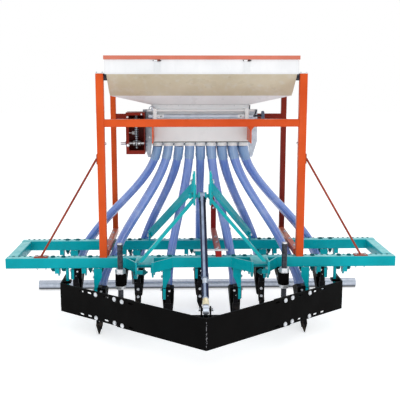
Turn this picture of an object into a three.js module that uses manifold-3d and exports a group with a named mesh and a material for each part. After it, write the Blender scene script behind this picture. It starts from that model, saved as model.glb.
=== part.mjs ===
// A nine-row tractor-mounted seed drill: a toolbar on nine tynes, a hopper on four posts,
// delivery hoses, a three-point hitch with its mast, a V-shaped levelling blade on two screw
// jacks in front and a drag pipe behind. Millimetres, +Z up, the hitch side faces -Y.
// The construction below is written about the front bar's centre line (y = 0, ground z = 0);
// the outermost group then moves it so that the origin is under the middle of the whole.
import * as THREE from 'three';
import { mergeVertices } from 'three/addons/utils/BufferGeometryUtils.js';
import { ConvexGeometry } from 'three/addons/geometries/ConvexGeometry.js';
import Module from 'manifold-3d';

const wasm = await Module();
wasm.setup();

// ---------------------------------------------------------------- driving dimensions
const seat = 0.3;                 // gap left where one piece rests on another
const overlap = 1;                // how far a joined or cutting solid runs into the next
const beyond = 3000;              // past every piece, for blocks that cut

const frameWidth = 2600;          // toolbar, end to end
const barSize = 70;               // square tube of the toolbar
const barCorner = 8;
const barSpacing = 504;           // front bar centre to rear bar centre
const barBottom = 432;

const rowCount = 9;
const rowPitch = 228.6;           // nine inches between rows

const shankThick = 25;            // tyne shank, across the rows
const shankDepth = 60;            // and along the travel
const legThick = 30;
const legTop = 300;
const legLap = 90;                // how far the shank runs down beside the leg
const legFrontBend = 140;         // heights at which the leg's two edges bend forward
const legBackBend = 110;
const legToeInset = 34;           // leg's toe behind the share tip
const legToeZ = 26;
const legToeWidth = 26;
const legToeDrop = 10;
const webInset = 8;
const webBottom = 212;
const webTop = 286;
const bootWidth = 69;
const bootInletY = 98;            // first hose inlet, behind the shank's centre
const bootInletZ = 272;
const bootInletStep = 66;         // second inlet behind the first, down the slope
const bootTilt = 22;              // degrees that the inlets lean back
const bootRim = 35;
const bootBottom = 76;
const bootFrontHeight = 90;       // front face, down from the first inlet
const bootFootTaper = 0.45;       // width of the boot's foot, as a share of its top
const bootFoot = [-10, 52];       // front and back of that foot
const shareReach = 112;           // share tip ahead of the shank's centre
const shareWidth = 45;
const shareThick = 9;
const shareTop = 185;
const shareLap = 4;               // how far the share lies over the leg's front edge
const shareShoulder = 50;         // height where the share starts to narrow
const shareShoulderInset = 28;
const shareTipWidth = 18;
const shareTipLength = 16;

const frontPostSize = 50;
const frontPostX = 655;
const postCorner = 4;
const frontPostTop = 1707;
const rearPostSize = 40;
const rearPostInset = 15;         // rear posts and base rails in from the front posts
const rearPostSetback = 236;      // behind the rear bar's centre
const rearPostTop = 1750;
const baseRailSize = 40;
const centreRailX = 112;
const centreRailFront = -25;

const crossRailTop = 1416;
const frontRailHeight = 49;
const rearRailSize = 40;
const hangerInset = 15;           // plates that carry the metering box, in from its ends
const hangerThick = 6;
const hangerBottom = 1259;
const hangerSetback = 6;          // hanger in from the rail's front face and up into the rail

const stayDiameter = 14;
const stayTop = 1160;
const stayFootInset = 230;        // stay foot from the end of the front bar
const stayPlate = 6;
const stayFootLength = 90;
const stayFootWidth = 50;
const stayTabWidth = 40;          // plate on the post's outer face
const stayTabBelow = 35;
const stayTabAbove = 30;

const hopperHalfWidth = 615;      // straight top band
const hopperWaistHalfWidth = 606; // sloped part below it
const hopperFront = -50;
const hopperOverhang = 30;        // hopper behind the rear posts' centres
const hopperWall = 3;
const hopperTop = 1816;
const bandBottom = 1703;
const slopeBottom = 1563;
const slopeRun = 206;             // how far each sloped panel runs inward
const hopperBracketHeight = 42;
const frontBracketAhead = 5;      // front bracket, ahead of and behind the post's centre
const frontBracketBehind = 47;
const rearBracketRise = 5;        // rear bracket above the band's lower edge

const lidGap = 5.5;               // lid skirt to hopper wall
const lidSheet = 3;
const lidDrop = 22;               // skirt below the underside of the lid
const hingeX = 285;
const hingeWidth = 42;
const hingeRadius = 5;
const hingeStrap = 78;
const hingeBelowLid = 2;
const hopperKnuckle = 0.55;       // shares of the hinge's width
const lidKnuckle = 0.4;
const hingeY = hopperFront - 8;

const meterHalfWidth = 335;
const meterSetback = 7.5;         // middle of the box behind the middle of the hopper
const meterDepth = 245;
const meterTop = 1500;
const meterBottom = 1245;
const meterWall = 4;
const meterFloor = 55;            // roller housings along the bottom of the box
const outletPitch = 74;
const outletRows = [37, 207];     // the two rows of outlets, behind the box's front face
const outletRadius = 33;
const outletHeight = 27;
const stripThick = 12;            // strip that joins the rear row of hose ends
const stripInset = 8;
const endPlateSetback = 120;      // end plates behind the box's front face
const endPlateThick = 6;
const endPlateWidth = 65;
const endPlateBottom = 1130;
const endPlateTopDrop = 36;       // below the top of the box
const endPlateTaper = 110;        // height over which the outer edge runs in
const endPlateFootInset = 32;
const endPlateFootWidth = 18;
const endPlateInnerRise = 10;
const rodAhead = 30;              // regulator rods in front of the box
const regulatorZ = 1424;
const regulatorDiameter = 30;
const indexRodZ = 1462;
const indexRodDiameter = 14;
const rodBracketWidth = 24;
const rodBracketInset = 25;       // in from the box's ends
const rodBracketAhead = 22;
const rodBracketBelow = 24;
const rodBracketAbove = 14;
const rodOverhang = 20;           // rods past each end of the box

const housingGap = 45;            // gear housing beside the metering box
const housingWidth = 126;
const housingAhead = 75;          // housing's front edge ahead of the box
const housingBottom = 1170;
const housingTop = 1450;
const housingWall = 4;
const gearSetback = 21;           // shafts behind the box's front face
const feedShaftZ = 1385;
const feedShaftDiameter = 28;
const feedTeeth = 22;
const feedHubDiameter = 48;
const feedShaftOutside = 40;      // shaft end beyond its sprocket
const feedShaftInBox = 30;
const bearingDepth = 40;
const drivePinionZ = 1236;
const drivePinionTeeth = 16;
const driveShaftDiameter = 22;
const driveHubDiameter = 36;
const driveShaftOutside = 45;     // shaft ends past the housing, outside and inside
const driveShaftInside = 12;
const hubLength = 30;
const chainPitch = 12.7;
const sprocketThick = 8;
const toothRoot = 4;              // inside and outside the pitch circle
const toothTip = 3;
const toothRootShare = 0.3;       // half widths of a tooth, as shares of its pitch
const toothTipShare = 0.1;
const sprocketInset = 60;         // sprockets from the housing's inner wall
const shaftClearance = 1;

const hoseDiameter = 57;
const hoseSteps = 11;
const hoseSides = 8;
const hoseSpare = 25;             // length made past each end before the ends are cut flush
const hoseBarClearance = 32;      // between a rear row's hose and the back of its bar
const behindBarRise = 305;        // and hangs upright at this height above the first inlet
const hoseUnderRail = 3;          // row, out from the middle, whose hoses pass under a base rail
const hoseRailInset = 34;         // middle of such a hose from the rail's inner face
const hoseRailSlope = -0.45;      // and how far out it goes for each millimetre that it rises

const earThick = 12;
const hitchOuterX = 430;
const hitchInnerX = 325;
const hitchReach = 140;           // ears ahead of the front bar's face
const hitchBottom = 385;
const hitchPinZ = 430;
const hitchPinDiameter = 28;
const hitchPinLength = 62;
const hitchPinTail = 14;          // pin beyond the outer face of the outer ear
const hitchPinSetback = 42;       // pin behind the ears' front edge
const hitchNose = 45;             // slanted lower front corner
const hitchChamfer = 10;
const hitchInnerRise = 8;         // inner ear's lower edge above the outer one's
const hitchGussetRun = 75;
const hitchInnerGussetRun = 130;
const hitchGussetThick = 10;
const hitchGussetSetback = 8;
const hitchCoverRun = 88;
const hitchCoverFall = 22;
const hitchCoverThick = 10;

const mastX = 46;                 // inner face of each mast ear
const mastY = -100;
const mastPinZ = 928;
const mastTop = 1091;
const mastEarDepth = 66;
const mastEarBottom = 870;
const mastPinDiameter = 25;
const topHoleZ = 1052;
const topHoleDiameter = 26;
const mastPinStandOut = 12;
const mastLegWidth = 46;
const mastLegThick = 20;
const mastLegInset = 8;           // leg's centre line into the ear, at the top
const mastLegRise = 35;           // above the ear's lower end
const mastFootSetback = 36;       // leg's foot behind the hitch ears' front edge
const mastFootSink = 30;          // centre line below the bar's top, before the foot is cut flat
const braceWidth = 60;
const braceThick = 10;
const braceFootX = 370;
const braceTopZ = 1000;
const braceLap = 12;              // brace's end over the ear
const braceLugHeight = 62;
const braceLugThick = 12;
const braceFootRise = 8;          // brace's centre line above the middle of its lug
const bracePadThick = 10;
const bracePadAhead = 26;
const bracePadBelow = 42;
const bracePadAbove = 30;

const bladeHeight = 190;
const bladeBottom = 160;
const bladeThick = 10;
const bladeNoseY = -825;
const bladeHalfWidth = 940;
const bladeEndY = -103;
const bladeJoint = 680;           // where the inner plate ends, along the wing
const bladeLap = 130;
const returnLength = 250;
const guideRodDiameter = 22;
const guideRodBottom = 205;
const guideClearance = 5;
const guideLugWall = 8;
const guideLugDepth = 52;
const guideLugThick = 16;
const guideLugDrop = 8;           // lug below the blade's top edge
const bladeSeat = 0.5;            // what bears on the back of the blade stands off this much

const clevisY = -752;
const clevisZ = 382;
const clevisInner = 21;           // inner face of each clevis ear
const clevisEarThick = 9;
const clevisPinDiameter = 20;
const clevisPlateThick = 12;
const clevisEarRadius = 20;
const clevisPlateBack = 30;       // plate's back edge behind the pin
const clevisPlateDrop = 10;       // plate's top below the blade's top edge
const clevisEarLap = 4;           // ears down into the plate
const clevisPinStandOut = 7;

const linkDiameter = 42;
const linkRodDiameter = 30;
const linkEyeRadius = 24;
const linkEyeWidth = 56;
const rodEyeWidth = 30;
const rodEyeDiameter = 56;
const openPivotClearance = 6;     // all round the clevis pin, inside the rod's eye
const barrelLength = 640;
const barrelBoreDepth = 240;
const rodInBarrel = 190;
const eyeLap = 14;                // shaft of the rod into its eye
const barrelLap = 4;              // barrel up into its own eye

const jackX = 533;
const jackY = -150;
const jackScrewDiameter = 37;
const jackScrewTop = 629;
const jackScrewBottom = 205;
const jackSleeveDiameter = 67;
const jackSleeveBottom = 348;
const jackSleeveTop = 428;
const jackNutDiameter = 70;
const jackTopNutHeight = 34;
const jackLowNutHeight = 24;
const jackBracketThick = 12;
const jackBracketHalfWidth = 30;
const jackBracketRise = 6;        // web above the sleeve's lower end
const jackBracketAhead = 20;      // web ahead of the screw's centre
const jackArmBehind = 22;         // arm behind the screw's centre
const jackFootLap = 2;            // screw starts this far above the arm's underside
const jackArmWidth = 44;
const jackArmHeight = 40;

const pipeDiameter = 72;
const pipeWall = 4;
const pipeInset = 20;             // pipe end inside the toolbar's end
const pipeSetback = 429;          // behind the rear bar's centre
const pipeArmX = 520;
const pipeArmWidth = 46;
const pipeArmThick = 20;
const pipePivotSetback = 72;
const pipePivotZ = 460;
const pipePivotDiameter = 20;
const pipeLugThick = 8;
const pipeLugGap = 6;
const pipeLugInset = 8;           // lug in from the bar's edges
const pipePinStandOut = 4;

// ---------------------------------------------------------------- derived sizes
const barTop = barBottom + barSize;
const frontBarBack = barSize / 2;
const frontBarFace = -barSize / 2;
const rearBarFront = barSpacing - barSize / 2;
const rearBarBack = barSpacing + barSize / 2;
const rearPostX = frontPostX - rearPostInset;
const rearPostY = barSpacing + rearPostSetback;
const hopperBack = rearPostY + hopperOverhang;
const meterFront = (hopperFront + hopperBack - meterDepth) / 2 + meterSetback;
const meterBack = meterFront + meterDepth;
const outletRowY = outletRows.map((setback) => meterFront + setback);
const endPlateY = meterFront + endPlateSetback;
const endPlateReach = meterHalfWidth + endPlateWidth;
const hangerX = meterHalfWidth - hangerInset;
const rodY = meterFront - rodAhead;
const rodBracketX = meterHalfWidth - rodBracketInset;
const housingInner = meterHalfWidth + housingGap;
const housingFront = meterFront - housingAhead;
const gearY = meterFront + gearSetback;
const sprocketX = housingInner + sprocketInset;
const pipeY = barSpacing + pipeSetback;
const pipePivotY = barSpacing + pipePivotSetback;
const slopeHeight = bandBottom - slopeBottom;
const hingeZ = hopperTop - lidDrop - hingeRadius - hingeBelowLid;
const outletFace = meterBottom - outletHeight;
const bladeTop = bladeBottom + bladeHeight;
const baseRailTop = barTop + baseRailSize;
const pipeZ = pipeDiameter / 2;
const frontmost = bladeNoseY;
const rearmost = pipeY + pipeDiameter / 2;

// ---------------------------------------------------------------- finishes
function paint(colour, roughness = 0.45, metalness = 0.1) {
  return new THREE.MeshStandardMaterial({ color: colour, roughness, metalness });
}

const finish = {
  teal: paint(0x0ba3a8),
  orange: paint(0xe0602a),
  white: paint(0xf2f3f4),
  brownRed: paint(0x7d2a1c, 0.55),
  black: paint(0x0c0a0b, 0.4),
  steel: paint(0xb9bec4, 0.3, 0.9),
  galvanised: paint(0x9aa3ad, 0.45, 0.8),
  hose: paint(0x6f86d2, 0.25, 0),
};

// ---------------------------------------------------------------- solid modelling helpers
function toSolid(geometry) {
  const bare = geometry.index ? geometry.toNonIndexed() : geometry.clone();
  bare.deleteAttribute('normal');
  bare.deleteAttribute('uv');
  const merged = mergeVertices(bare, 1e-4);
  return new wasm.Manifold(new wasm.Mesh({
    numProp: 3,
    vertProperties: new Float32Array(merged.attributes.position.array),
    triVerts: new Uint32Array(merged.index.array),
  }));
}

function toGeometry(solid) {
  const mesh = solid.getMesh();
  const geometry = new THREE.BufferGeometry();
  geometry.setAttribute('position', new THREE.BufferAttribute(mesh.vertProperties, 3));
  geometry.setIndex(new THREE.BufferAttribute(mesh.triVerts, 1));
  geometry.computeVertexNormals();
  return geometry;
}

function join(solids) {
  return solids.reduce((sum, solid) => sum.add(solid));
}

function block(x0, x1, y0, y1, z0, z1) {
  const geometry = new THREE.BoxGeometry(Math.abs(x1 - x0), Math.abs(y1 - y0), Math.abs(z1 - z0));
  geometry.translate((x0 + x1) / 2, (y0 + y1) / 2, (z0 + z1) / 2);
  return toSolid(geometry);
}

function outline(points) {
  return new THREE.Shape(points.map(([a, b]) => new THREE.Vector2(a, b)));
}

function extrude(shape, depth, curveSegments) {
  return new THREE.ExtrudeGeometry(shape, { depth, bevelEnabled: false, curveSegments });
}

// The shape's axes are Y and Z; the solid runs from x0 to x1.
function extrudeX(shape, x0, x1, curveSegments = 6) {
  const geometry = extrude(shape, Math.abs(x1 - x0), curveSegments);
  geometry.applyMatrix4(new THREE.Matrix4().makeBasis(
    new THREE.Vector3(0, 1, 0), new THREE.Vector3(0, 0, 1), new THREE.Vector3(1, 0, 0)));
  geometry.translate(Math.min(x0, x1), 0, 0);
  return toSolid(geometry);
}

// The shape's axes are X and Z; the solid runs from y0 to y1.
function extrudeY(shape, y0, y1, curveSegments = 6) {
  const geometry = extrude(shape, y1 - y0, curveSegments);
  geometry.applyMatrix4(new THREE.Matrix4().makeBasis(
    new THREE.Vector3(1, 0, 0), new THREE.Vector3(0, 0, 1), new THREE.Vector3(0, -1, 0)));
  geometry.translate(0, y1, 0);
  return toSolid(geometry);
}

// The shape's axes are X and Y; the solid runs from z0 to z1.
function extrudeZ(shape, z0, z1, curveSegments = 6) {
  const geometry = extrude(shape, z1 - z0, curveSegments);
  geometry.translate(0, 0, z0);
  return toSolid(geometry);
}

function roundedSquare(width, height, radius) {
  const x = width / 2;
  const y = height / 2;
  const shape = new THREE.Shape();
  shape.moveTo(x, y - radius);
  shape.absarc(x - radius, y - radius, radius, 0, Math.PI / 2, false);
  shape.absarc(radius - x, y - radius, radius, Math.PI / 2, Math.PI, false);
  shape.absarc(radius - x, radius - y, radius, Math.PI, 1.5 * Math.PI, false);
  shape.absarc(x - radius, radius - y, radius, 1.5 * Math.PI, 2 * Math.PI, false);
  return shape;
}

// A round bar between two points.
function rod(from, to, diameter, sides = 20) {
  const a = new THREE.Vector3(...from);
  const b = new THREE.Vector3(...to);
  const along = new THREE.Vector3().subVectors(b, a);
  const geometry = new THREE.CylinderGeometry(diameter / 2, diameter / 2, along.length(), sides);
  const turn = new THREE.Quaternion().setFromUnitVectors(
    new THREE.Vector3(0, 1, 0), along.clone().normalize());
  geometry.applyQuaternion(turn);
  geometry.translate(...a.add(b).multiplyScalar(0.5).toArray());
  return toSolid(geometry);
}

function hull(points) {
  return toSolid(new ConvexGeometry(points.map((point) => new THREE.Vector3(...point))));
}

// A flat bar between two points, wide along `across` and thin at right angles to it.
function flatBar(from, to, across, width, thick) {
  const a = new THREE.Vector3(...from);
  const b = new THREE.Vector3(...to);
  const along = new THREE.Vector3().subVectors(b, a).normalize();
  const wide = new THREE.Vector3(...across);
  wide.addScaledVector(along, -wide.dot(along)).normalize().multiplyScalar(width / 2);
  const thin = new THREE.Vector3().crossVectors(along, wide).normalize().multiplyScalar(thick / 2);
  const corners = [];
  for (const end of [a, b]) {
    for (const w of [-1, 1]) {
      for (const t of [-1, 1]) {
        corners.push(end.clone().addScaledVector(wide, w).addScaledVector(thin, t).toArray());
      }
    }
  }
  return hull(corners);
}

function mirrorX(solid) {
  return solid.mirror([1, 0, 0]);
}

// ---------------------------------------------------------------- the assembly
const machine = new THREE.Group();
machine.position.y = -(frontmost + rearmost) / 2;

function addPiece(name, solid, material, place = [0, 0, 0], group = machine) {
  const mesh = new THREE.Mesh(toGeometry(solid), material.clone());
  mesh.name = name;
  mesh.position.set(...place);
  group.add(mesh);
}

function addPair(name, solid, material, place = [0, 0, 0]) {
  addPiece(`right_${name}`, solid, material, place);
  addPiece(`left_${name}`, mirrorX(solid), material, [-place[0], place[1], place[2]]);
}

// ---------------------------------------------------------------- toolbar
function longBar(length) {
  return extrudeX(roundedSquare(barSize, barSize, barCorner), -length / 2, length / 2, 3);
}

function pipeLug(side) {
  const x = side * pipeArmX;
  const y = pipePivotY - barSpacing;
  const z = pipePivotZ - barBottom - barSize / 2;
  const inner = pipeArmThick / 2 + pipeLugGap;
  const outer = inner + pipeLugThick;
  const half = barSize / 2 - pipeLugInset;
  const plates = [-1, 1].map((cheek) => block(
    x + cheek * inner, x + cheek * outer,
    barSize / 2 - overlap, y + half / 2, z - half, z + half));
  const pinEnd = outer + pipePinStandOut;
  plates.push(rod([x - pinEnd, y, z], [x + pinEnd, y, z], pipePivotDiameter, 16));
  return plates;
}

function addToolbar() {
  const centreZ = barBottom + barSize / 2;
  const guides = [-1, 1].map((side) => rod(
    [side * guideX, 0, guideRodBottom - centreZ], [side * guideX, 0, 0], guideRodDiameter, 16));
  addPiece('front_bar', join([longBar(frameWidth), ...guides]), finish.teal, [0, 0, centreZ]);
  const rearBar = join([longBar(frameWidth), ...pipeLug(-1), ...pipeLug(1)]);
  addPiece('rear_bar', rearBar, finish.teal, [0, barSpacing, centreZ]);
  const endBar = extrudeY(
    roundedSquare(barSize, barSize, barCorner), frontBarBack + seat, rearBarFront - seat, 3);
  addPair('end_bar', endBar, finish.teal, [frameWidth / 2 - barSize / 2, 0, centreZ]);
}

// ---------------------------------------------------------------- tynes
function legShape() {
  const half = shankDepth / 2;
  const toe = legToeInset - shareReach;
  const shape = new THREE.Shape();
  shape.moveTo(-half, legTop);
  shape.quadraticCurveTo(-half, legFrontBend, toe, legToeZ);
  shape.lineTo(toe + legToeWidth, legToeZ - legToeDrop);
  shape.quadraticCurveTo(half, legBackBend, half, legTop);
  return shape;
}

function boot() {
  const tilt = THREE.MathUtils.degToRad(bootTilt);
  const rimY = bootRim * Math.cos(tilt);
  const rimZ = bootRim * Math.sin(tilt);
  const half = bootWidth / 2;
  const backY = bootInletY + bootInletStep * Math.cos(tilt) + rimY;
  const backZ = bootInletZ - bootInletStep * Math.sin(tilt) - rimZ;
  const points = [];
  for (const x of [-half, half]) {
    points.push([x, bootInletY - rimY, bootInletZ + rimZ]);
    points.push([x, backY, backZ]);
    points.push([x, bootInletY - rimY, bootInletZ - bootFrontHeight]);
    for (const y of bootFoot) points.push([x * bootFootTaper, y, bootBottom]);
  }
  return hull(points);
}

function share() {
  const shoulder = shareShoulderInset - shareReach;
  const points = [];
  for (const side of [-1, 1]) {
    const x = side * shareWidth / 2;
    points.push([x, -shankDepth / 2 - shareThick, shareTop]);
    points.push([x, -shankDepth / 2 + shareLap, shareTop]);
    points.push([x, shoulder, shareShoulder]);
    points.push([x, shoulder + shareTipLength, shareShoulder]);
    points.push([side * shareTipWidth / 2, -shareReach, 0]);
    points.push([side * shareTipWidth / 2, shareTipLength - shareReach, 0]);
  }
  return hull(points);
}

// side says which edge of the boot the shank stands on.
function tyne(side) {
  const outer = side * bootWidth / 2;
  const inner = side * (bootWidth / 2 - shankThick);
  const shank = block(
    Math.min(inner, outer), Math.max(inner, outer),
    -shankDepth / 2, shankDepth / 2, legTop - legLap, barBottom - seat);
  const leg = extrudeX(legShape(), -legThick / 2, legThick / 2, 8);
  const web = block(
    -bootWidth / 2, bootWidth / 2,
    webInset - shankDepth / 2, bootInletY - bootRim, webBottom, webTop);
  return join([shank, leg, web, boot(), share()]);
}

function rowIndex(row) {
  return row - (rowCount - 1) / 2;
}

// Even rows from the middle stand under the rear bar, odd ones under the front bar.
function tyneY(index) {
  return index % 2 === 0 ? barSpacing : 0;
}

function addTynes() {
  for (let row = 0; row < rowCount; row += 1) {
    const index = rowIndex(row);
    const side = index > 0 ? 1 : -1;
    addPiece(`tyne_${row + 1}`, tyne(side), finish.black, [index * rowPitch, tyneY(index), 0]);
  }
}

// ---------------------------------------------------------------- hoses
// A hose leaves its outlet and meets its boot upright across the rows, and leans back at the
// boot. Across and behind, it follows cubic stretches between knots of height, position and
// slope (how far it goes for each millimetre that it rises).
function alongKnots(knots, z) {
  let high = 0;
  while (high < knots.length - 2 && z < knots[high + 1].z) high += 1;
  const a = knots[high];
  const b = knots[high + 1];
  const h = b.z - a.z;
  const u = (z - a.z) / h;
  return a.at * (2 * u ** 3 - 3 * u ** 2 + 1) + b.at * (3 * u ** 2 - 2 * u ** 3)
    + h * (a.slope * (u ** 3 - 2 * u ** 2 + u) + b.slope * (u ** 3 - u ** 2));
}

class HoseRoute extends THREE.Curve {
  constructor(across, behind) {
    super();
    this.across = across;
    this.behind = behind;
  }

  getPoint(t, target = new THREE.Vector3()) {
    const top = this.across[0].z;
    const bottom = this.across[this.across.length - 1].z;
    const z = top + (bottom - top) * t;
    return target.set(alongKnots(this.across, z), alongKnots(this.behind, z), z);
  }
}

function hoseRoute(index, inlet) {
  const tilt = THREE.MathUtils.degToRad(bootTilt);
  const alongSlope = inlet * bootInletStep;
  const topZ = outletFace + hoseSpare;
  const bottomZ = bootInletZ - alongSlope * Math.sin(tilt) - hoseSpare * Math.cos(tilt);
  const across = [
    { z: topZ, at: index * outletPitch, slope: 0 },
    { z: bottomZ, at: index * rowPitch, slope: 0 },
  ];
  if (Math.abs(index) === hoseUnderRail) {
    const side = Math.sign(index);
    const railInner = rearPostX - baseRailSize / 2;
    across.splice(1, 0, {
      z: barTop, at: side * (railInner - hoseRailInset), slope: side * hoseRailSlope,
    });
  }
  const behind = [
    { z: topZ, at: outletRowY[inlet], slope: 0 },
    {
      z: bottomZ,
      at: tyneY(index) + bootInletY + alongSlope * Math.cos(tilt) - hoseSpare * Math.sin(tilt),
      slope: Math.tan(tilt),
    },
  ];
  if (index % 2 === 0) {
    behind.splice(1, 0, {
      z: bootInletZ + behindBarRise,
      at: rearBarBack + hoseDiameter / 2 + hoseBarClearance + alongSlope * Math.cos(tilt),
      slope: 0,
    });
  }
  return new HoseRoute(across, behind);
}

function hose(index, inlet) {
  const route = hoseRoute(index, inlet);
  const section = new THREE.Shape();
  section.absarc(0, 0, hoseDiameter / 2, 0, 2 * Math.PI, false);
  const geometry = new THREE.ExtrudeGeometry(
    section, { steps: hoseSteps, curveSegments: hoseSides / 2, extrudePath: route });
  const tilt = THREE.MathUtils.degToRad(bootTilt);
  const inletNormal = [0, Math.sin(tilt), Math.cos(tilt)];
  const inletHeight = (tyneY(index) + bootInletY) * inletNormal[1] + bootInletZ * inletNormal[2];
  return toSolid(geometry)
    .trimByPlane([0, 0, -1], seat - outletFace)
    .trimByPlane(inletNormal, inletHeight + seat);
}

function addHoses() {
  for (let row = 0; row < rowCount; row += 1) {
    addPiece(`front_hose_${row + 1}`, hose(rowIndex(row), 0), finish.hose);
  }
  const strip = block(
    stripInset - meterHalfWidth, meterHalfWidth - stripInset,
    outletRowY[1] - hoseDiameter / 2, outletRowY[1] + hoseDiameter / 2,
    outletFace - seat - stripThick, outletFace - seat);
  const branches = [];
  for (let row = 0; row < rowCount; row += 1) branches.push(hose(rowIndex(row), 1));
  addPiece('rear_hoses', join([strip, ...branches]), finish.hose);
}

// ---------------------------------------------------------------- posts, rails and stays
function post(size, bottom, top) {
  return extrudeZ(roundedSquare(size, size, postCorner), bottom, top, 2);
}

function addPosts() {
  const frontPost = post(frontPostSize, barTop, frontPostTop);
  addPair('front_post', frontPost, finish.orange, [frontPostX, 0, 0]);
  const rearPost = post(rearPostSize, baseRailTop, rearPostTop);
  addPair('rear_post', rearPost, finish.orange, [rearPostX, rearPostY, 0]);
  const baseRail = extrudeY(
    roundedSquare(baseRailSize, baseRailSize, postCorner),
    frontPostSize / 2 + seat, rearPostY + rearPostSize / 2, 2);
  addPair('base_rail', baseRail, finish.orange, [rearPostX, 0, barTop + baseRailSize / 2]);
}

function addCrossRails() {
  const half = frontPostX - frontPostSize / 2 - seat;
  const bar = extrudeX(
    roundedSquare(frontPostSize, frontRailHeight, postCorner), -half, half, 2);
  const railZ = crossRailTop - frontRailHeight / 2;
  const hangers = [-1, 1].map((side) => block(
    side * hangerX - hangerThick / 2, side * hangerX + hangerThick / 2,
    hangerSetback - frontPostSize / 2, meterFront - seat,
    hangerBottom - railZ, hangerSetback - frontRailHeight / 2));
  addPiece('front_cross_rail', join([bar, ...hangers]), finish.orange, [0, 0, railZ]);
  const rearHalf = rearPostX - rearPostSize / 2 - seat;
  const rearBar = extrudeX(roundedSquare(rearRailSize, rearRailSize, postCorner), -rearHalf, rearHalf, 2);
  addPiece('rear_cross_rail', rearBar, finish.brownRed,
    [0, rearPostY, crossRailTop - rearRailSize / 2]);
}

function addCentreStand() {
  const rail = extrudeY(
    roundedSquare(baseRailSize, baseRailSize, postCorner),
    centreRailFront, rearPostY + rearPostSize / 2, 2);
  const upright = extrudeZ(
    roundedSquare(rearPostSize, rearPostSize, postCorner), 0,
    crossRailTop - rearRailSize - seat - barTop - baseRailSize / 2, 2);
  const stand = rail.add(upright.translate([0, rearPostY, 0]));
  addPiece('centre_stand', stand, finish.brownRed, [centreRailX, 0, barTop + baseRailSize / 2]);
}

function addSideStays() {
  const footX = frameWidth / 2 - stayFootInset;
  const postFace = frontPostX + frontPostSize / 2 + seat;
  const foot = block(
    footX - stayFootLength / 2, footX + stayFootLength / 2,
    -stayFootWidth / 2, stayFootWidth / 2, barTop + seat, barTop + seat + stayPlate);
  const bar = rod(
    [postFace + stayPlate, 0, stayTop], [footX, 0, barTop + stayPlate], stayDiameter, 12)
    .trimByPlane([1, 0, 0], postFace);
  const tab = block(
    postFace, postFace + stayPlate, -stayTabWidth / 2, stayTabWidth / 2,
    stayTop - stayTabBelow, stayTop + stayTabAbove);
  addPair('side_stay', join([foot, bar, tab]), finish.orange);
}

// ---------------------------------------------------------------- hopper and lid
function hopperShell(inset) {
  const slant = inset * Math.hypot(slopeRun, slopeHeight) / slopeHeight;
  const front = hopperFront + inset;
  const back = hopperBack - inset;
  const top = inset > 0 ? hopperTop + overlap : hopperTop;
  const waist = hopperWaistHalfWidth - inset;
  const shift = slant - inset;
  const knee = bandBottom + shift * slopeHeight / slopeRun;
  const body = extrudeX(outline([
    [front, top], [front, knee],
    [front + slopeRun + shift, slopeBottom], [back - slopeRun - shift, slopeBottom],
    [back, knee], [back, top],
  ]), -waist, waist);
  const wide = hopperHalfWidth - inset;
  const band = block(-wide, wide, front, back, bandBottom, top);
  const bottom = inset > 0 ? meterTop - overlap : meterTop + seat;
  const funnel = [];
  for (const side of [-1, 1]) {
    funnel.push([side * waist, front + slopeRun + shift, slopeBottom]);
    funnel.push([side * waist, back - slopeRun - shift, slopeBottom]);
    funnel.push([side * (meterHalfWidth - inset), meterFront + inset, bottom]);
    funnel.push([side * (meterHalfWidth - inset), meterBack - inset, bottom]);
  }
  return join([body, band, hull(funnel)]);
}

function hingeStraps() {
  const straps = [];
  for (const side of [-1, 1]) {
    const x0 = side * hingeX - hingeWidth / 2;
    const x1 = side * hingeX + hingeWidth / 2;
    const knuckleEnd = x0 + hingeWidth * hopperKnuckle;
    straps.push(block(
      x0, x1, hopperFront - hopperWall, hopperFront + overlap, hingeZ - hingeStrap, hingeZ));
    straps.push(block(x0, knuckleEnd, hingeY, hopperFront, hingeZ - hopperWall, hingeZ));
    straps.push(rod([x0, hingeY, hingeZ], [knuckleEnd, hingeY, hingeZ], 2 * hingeRadius, 12));
  }
  return straps;
}

// Angle brackets that hang the hopper on the posts' inner faces.
function hopperBrackets() {
  const brackets = [];
  const frontFace = frontPostX - frontPostSize / 2 - seat;
  const rearFace = rearPostX - rearPostSize / 2 - seat;
  for (const side of [-1, 1]) {
    brackets.push(block(
      side * (hopperWaistHalfWidth - overlap), side * frontFace,
      -frontBracketAhead, frontBracketBehind, frontPostTop - hopperBracketHeight, frontPostTop));
    brackets.push(block(
      side * (hopperHalfWidth - overlap), side * rearFace,
      rearPostY - rearPostSize / 2, rearPostY + rearPostSize / 2,
      bandBottom + rearBracketRise, bandBottom + rearBracketRise + hopperBracketHeight));
  }
  return brackets;
}

function addHopper() {
  const outer = join([hopperShell(0), ...hopperBrackets()]);
  const hollow = outer.subtract(hopperShell(hopperWall));
  addPiece('hopper', join([hollow, ...hingeStraps()]), finish.white);
}

function addLid() {
  const x = hopperHalfWidth + lidGap;
  const y0 = hopperFront - lidGap;
  const y1 = hopperBack + lidGap;
  const under = hopperTop + seat;
  const tray = block(
    -x - lidSheet, x + lidSheet, y0 - lidSheet, y1 + lidSheet, under - lidDrop, under + lidSheet);
  const inside = block(-x, x, y0, y1, under - lidDrop - overlap, under);
  const knuckles = [];
  for (const side of [-1, 1]) {
    const x1 = side * hingeX + hingeWidth / 2;
    const from = x1 - hingeWidth * lidKnuckle;
    knuckles.push(rod([from, hingeY, hingeZ], [x1, hingeY, hingeZ], 2 * hingeRadius, 12));
    knuckles.push(block(from, x1, y0 - lidSheet, y0, hingeZ, under - lidDrop + overlap));
  }
  addPiece('hopper_lid', join([tray.subtract(inside), ...knuckles]), finish.orange);
}

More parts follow.
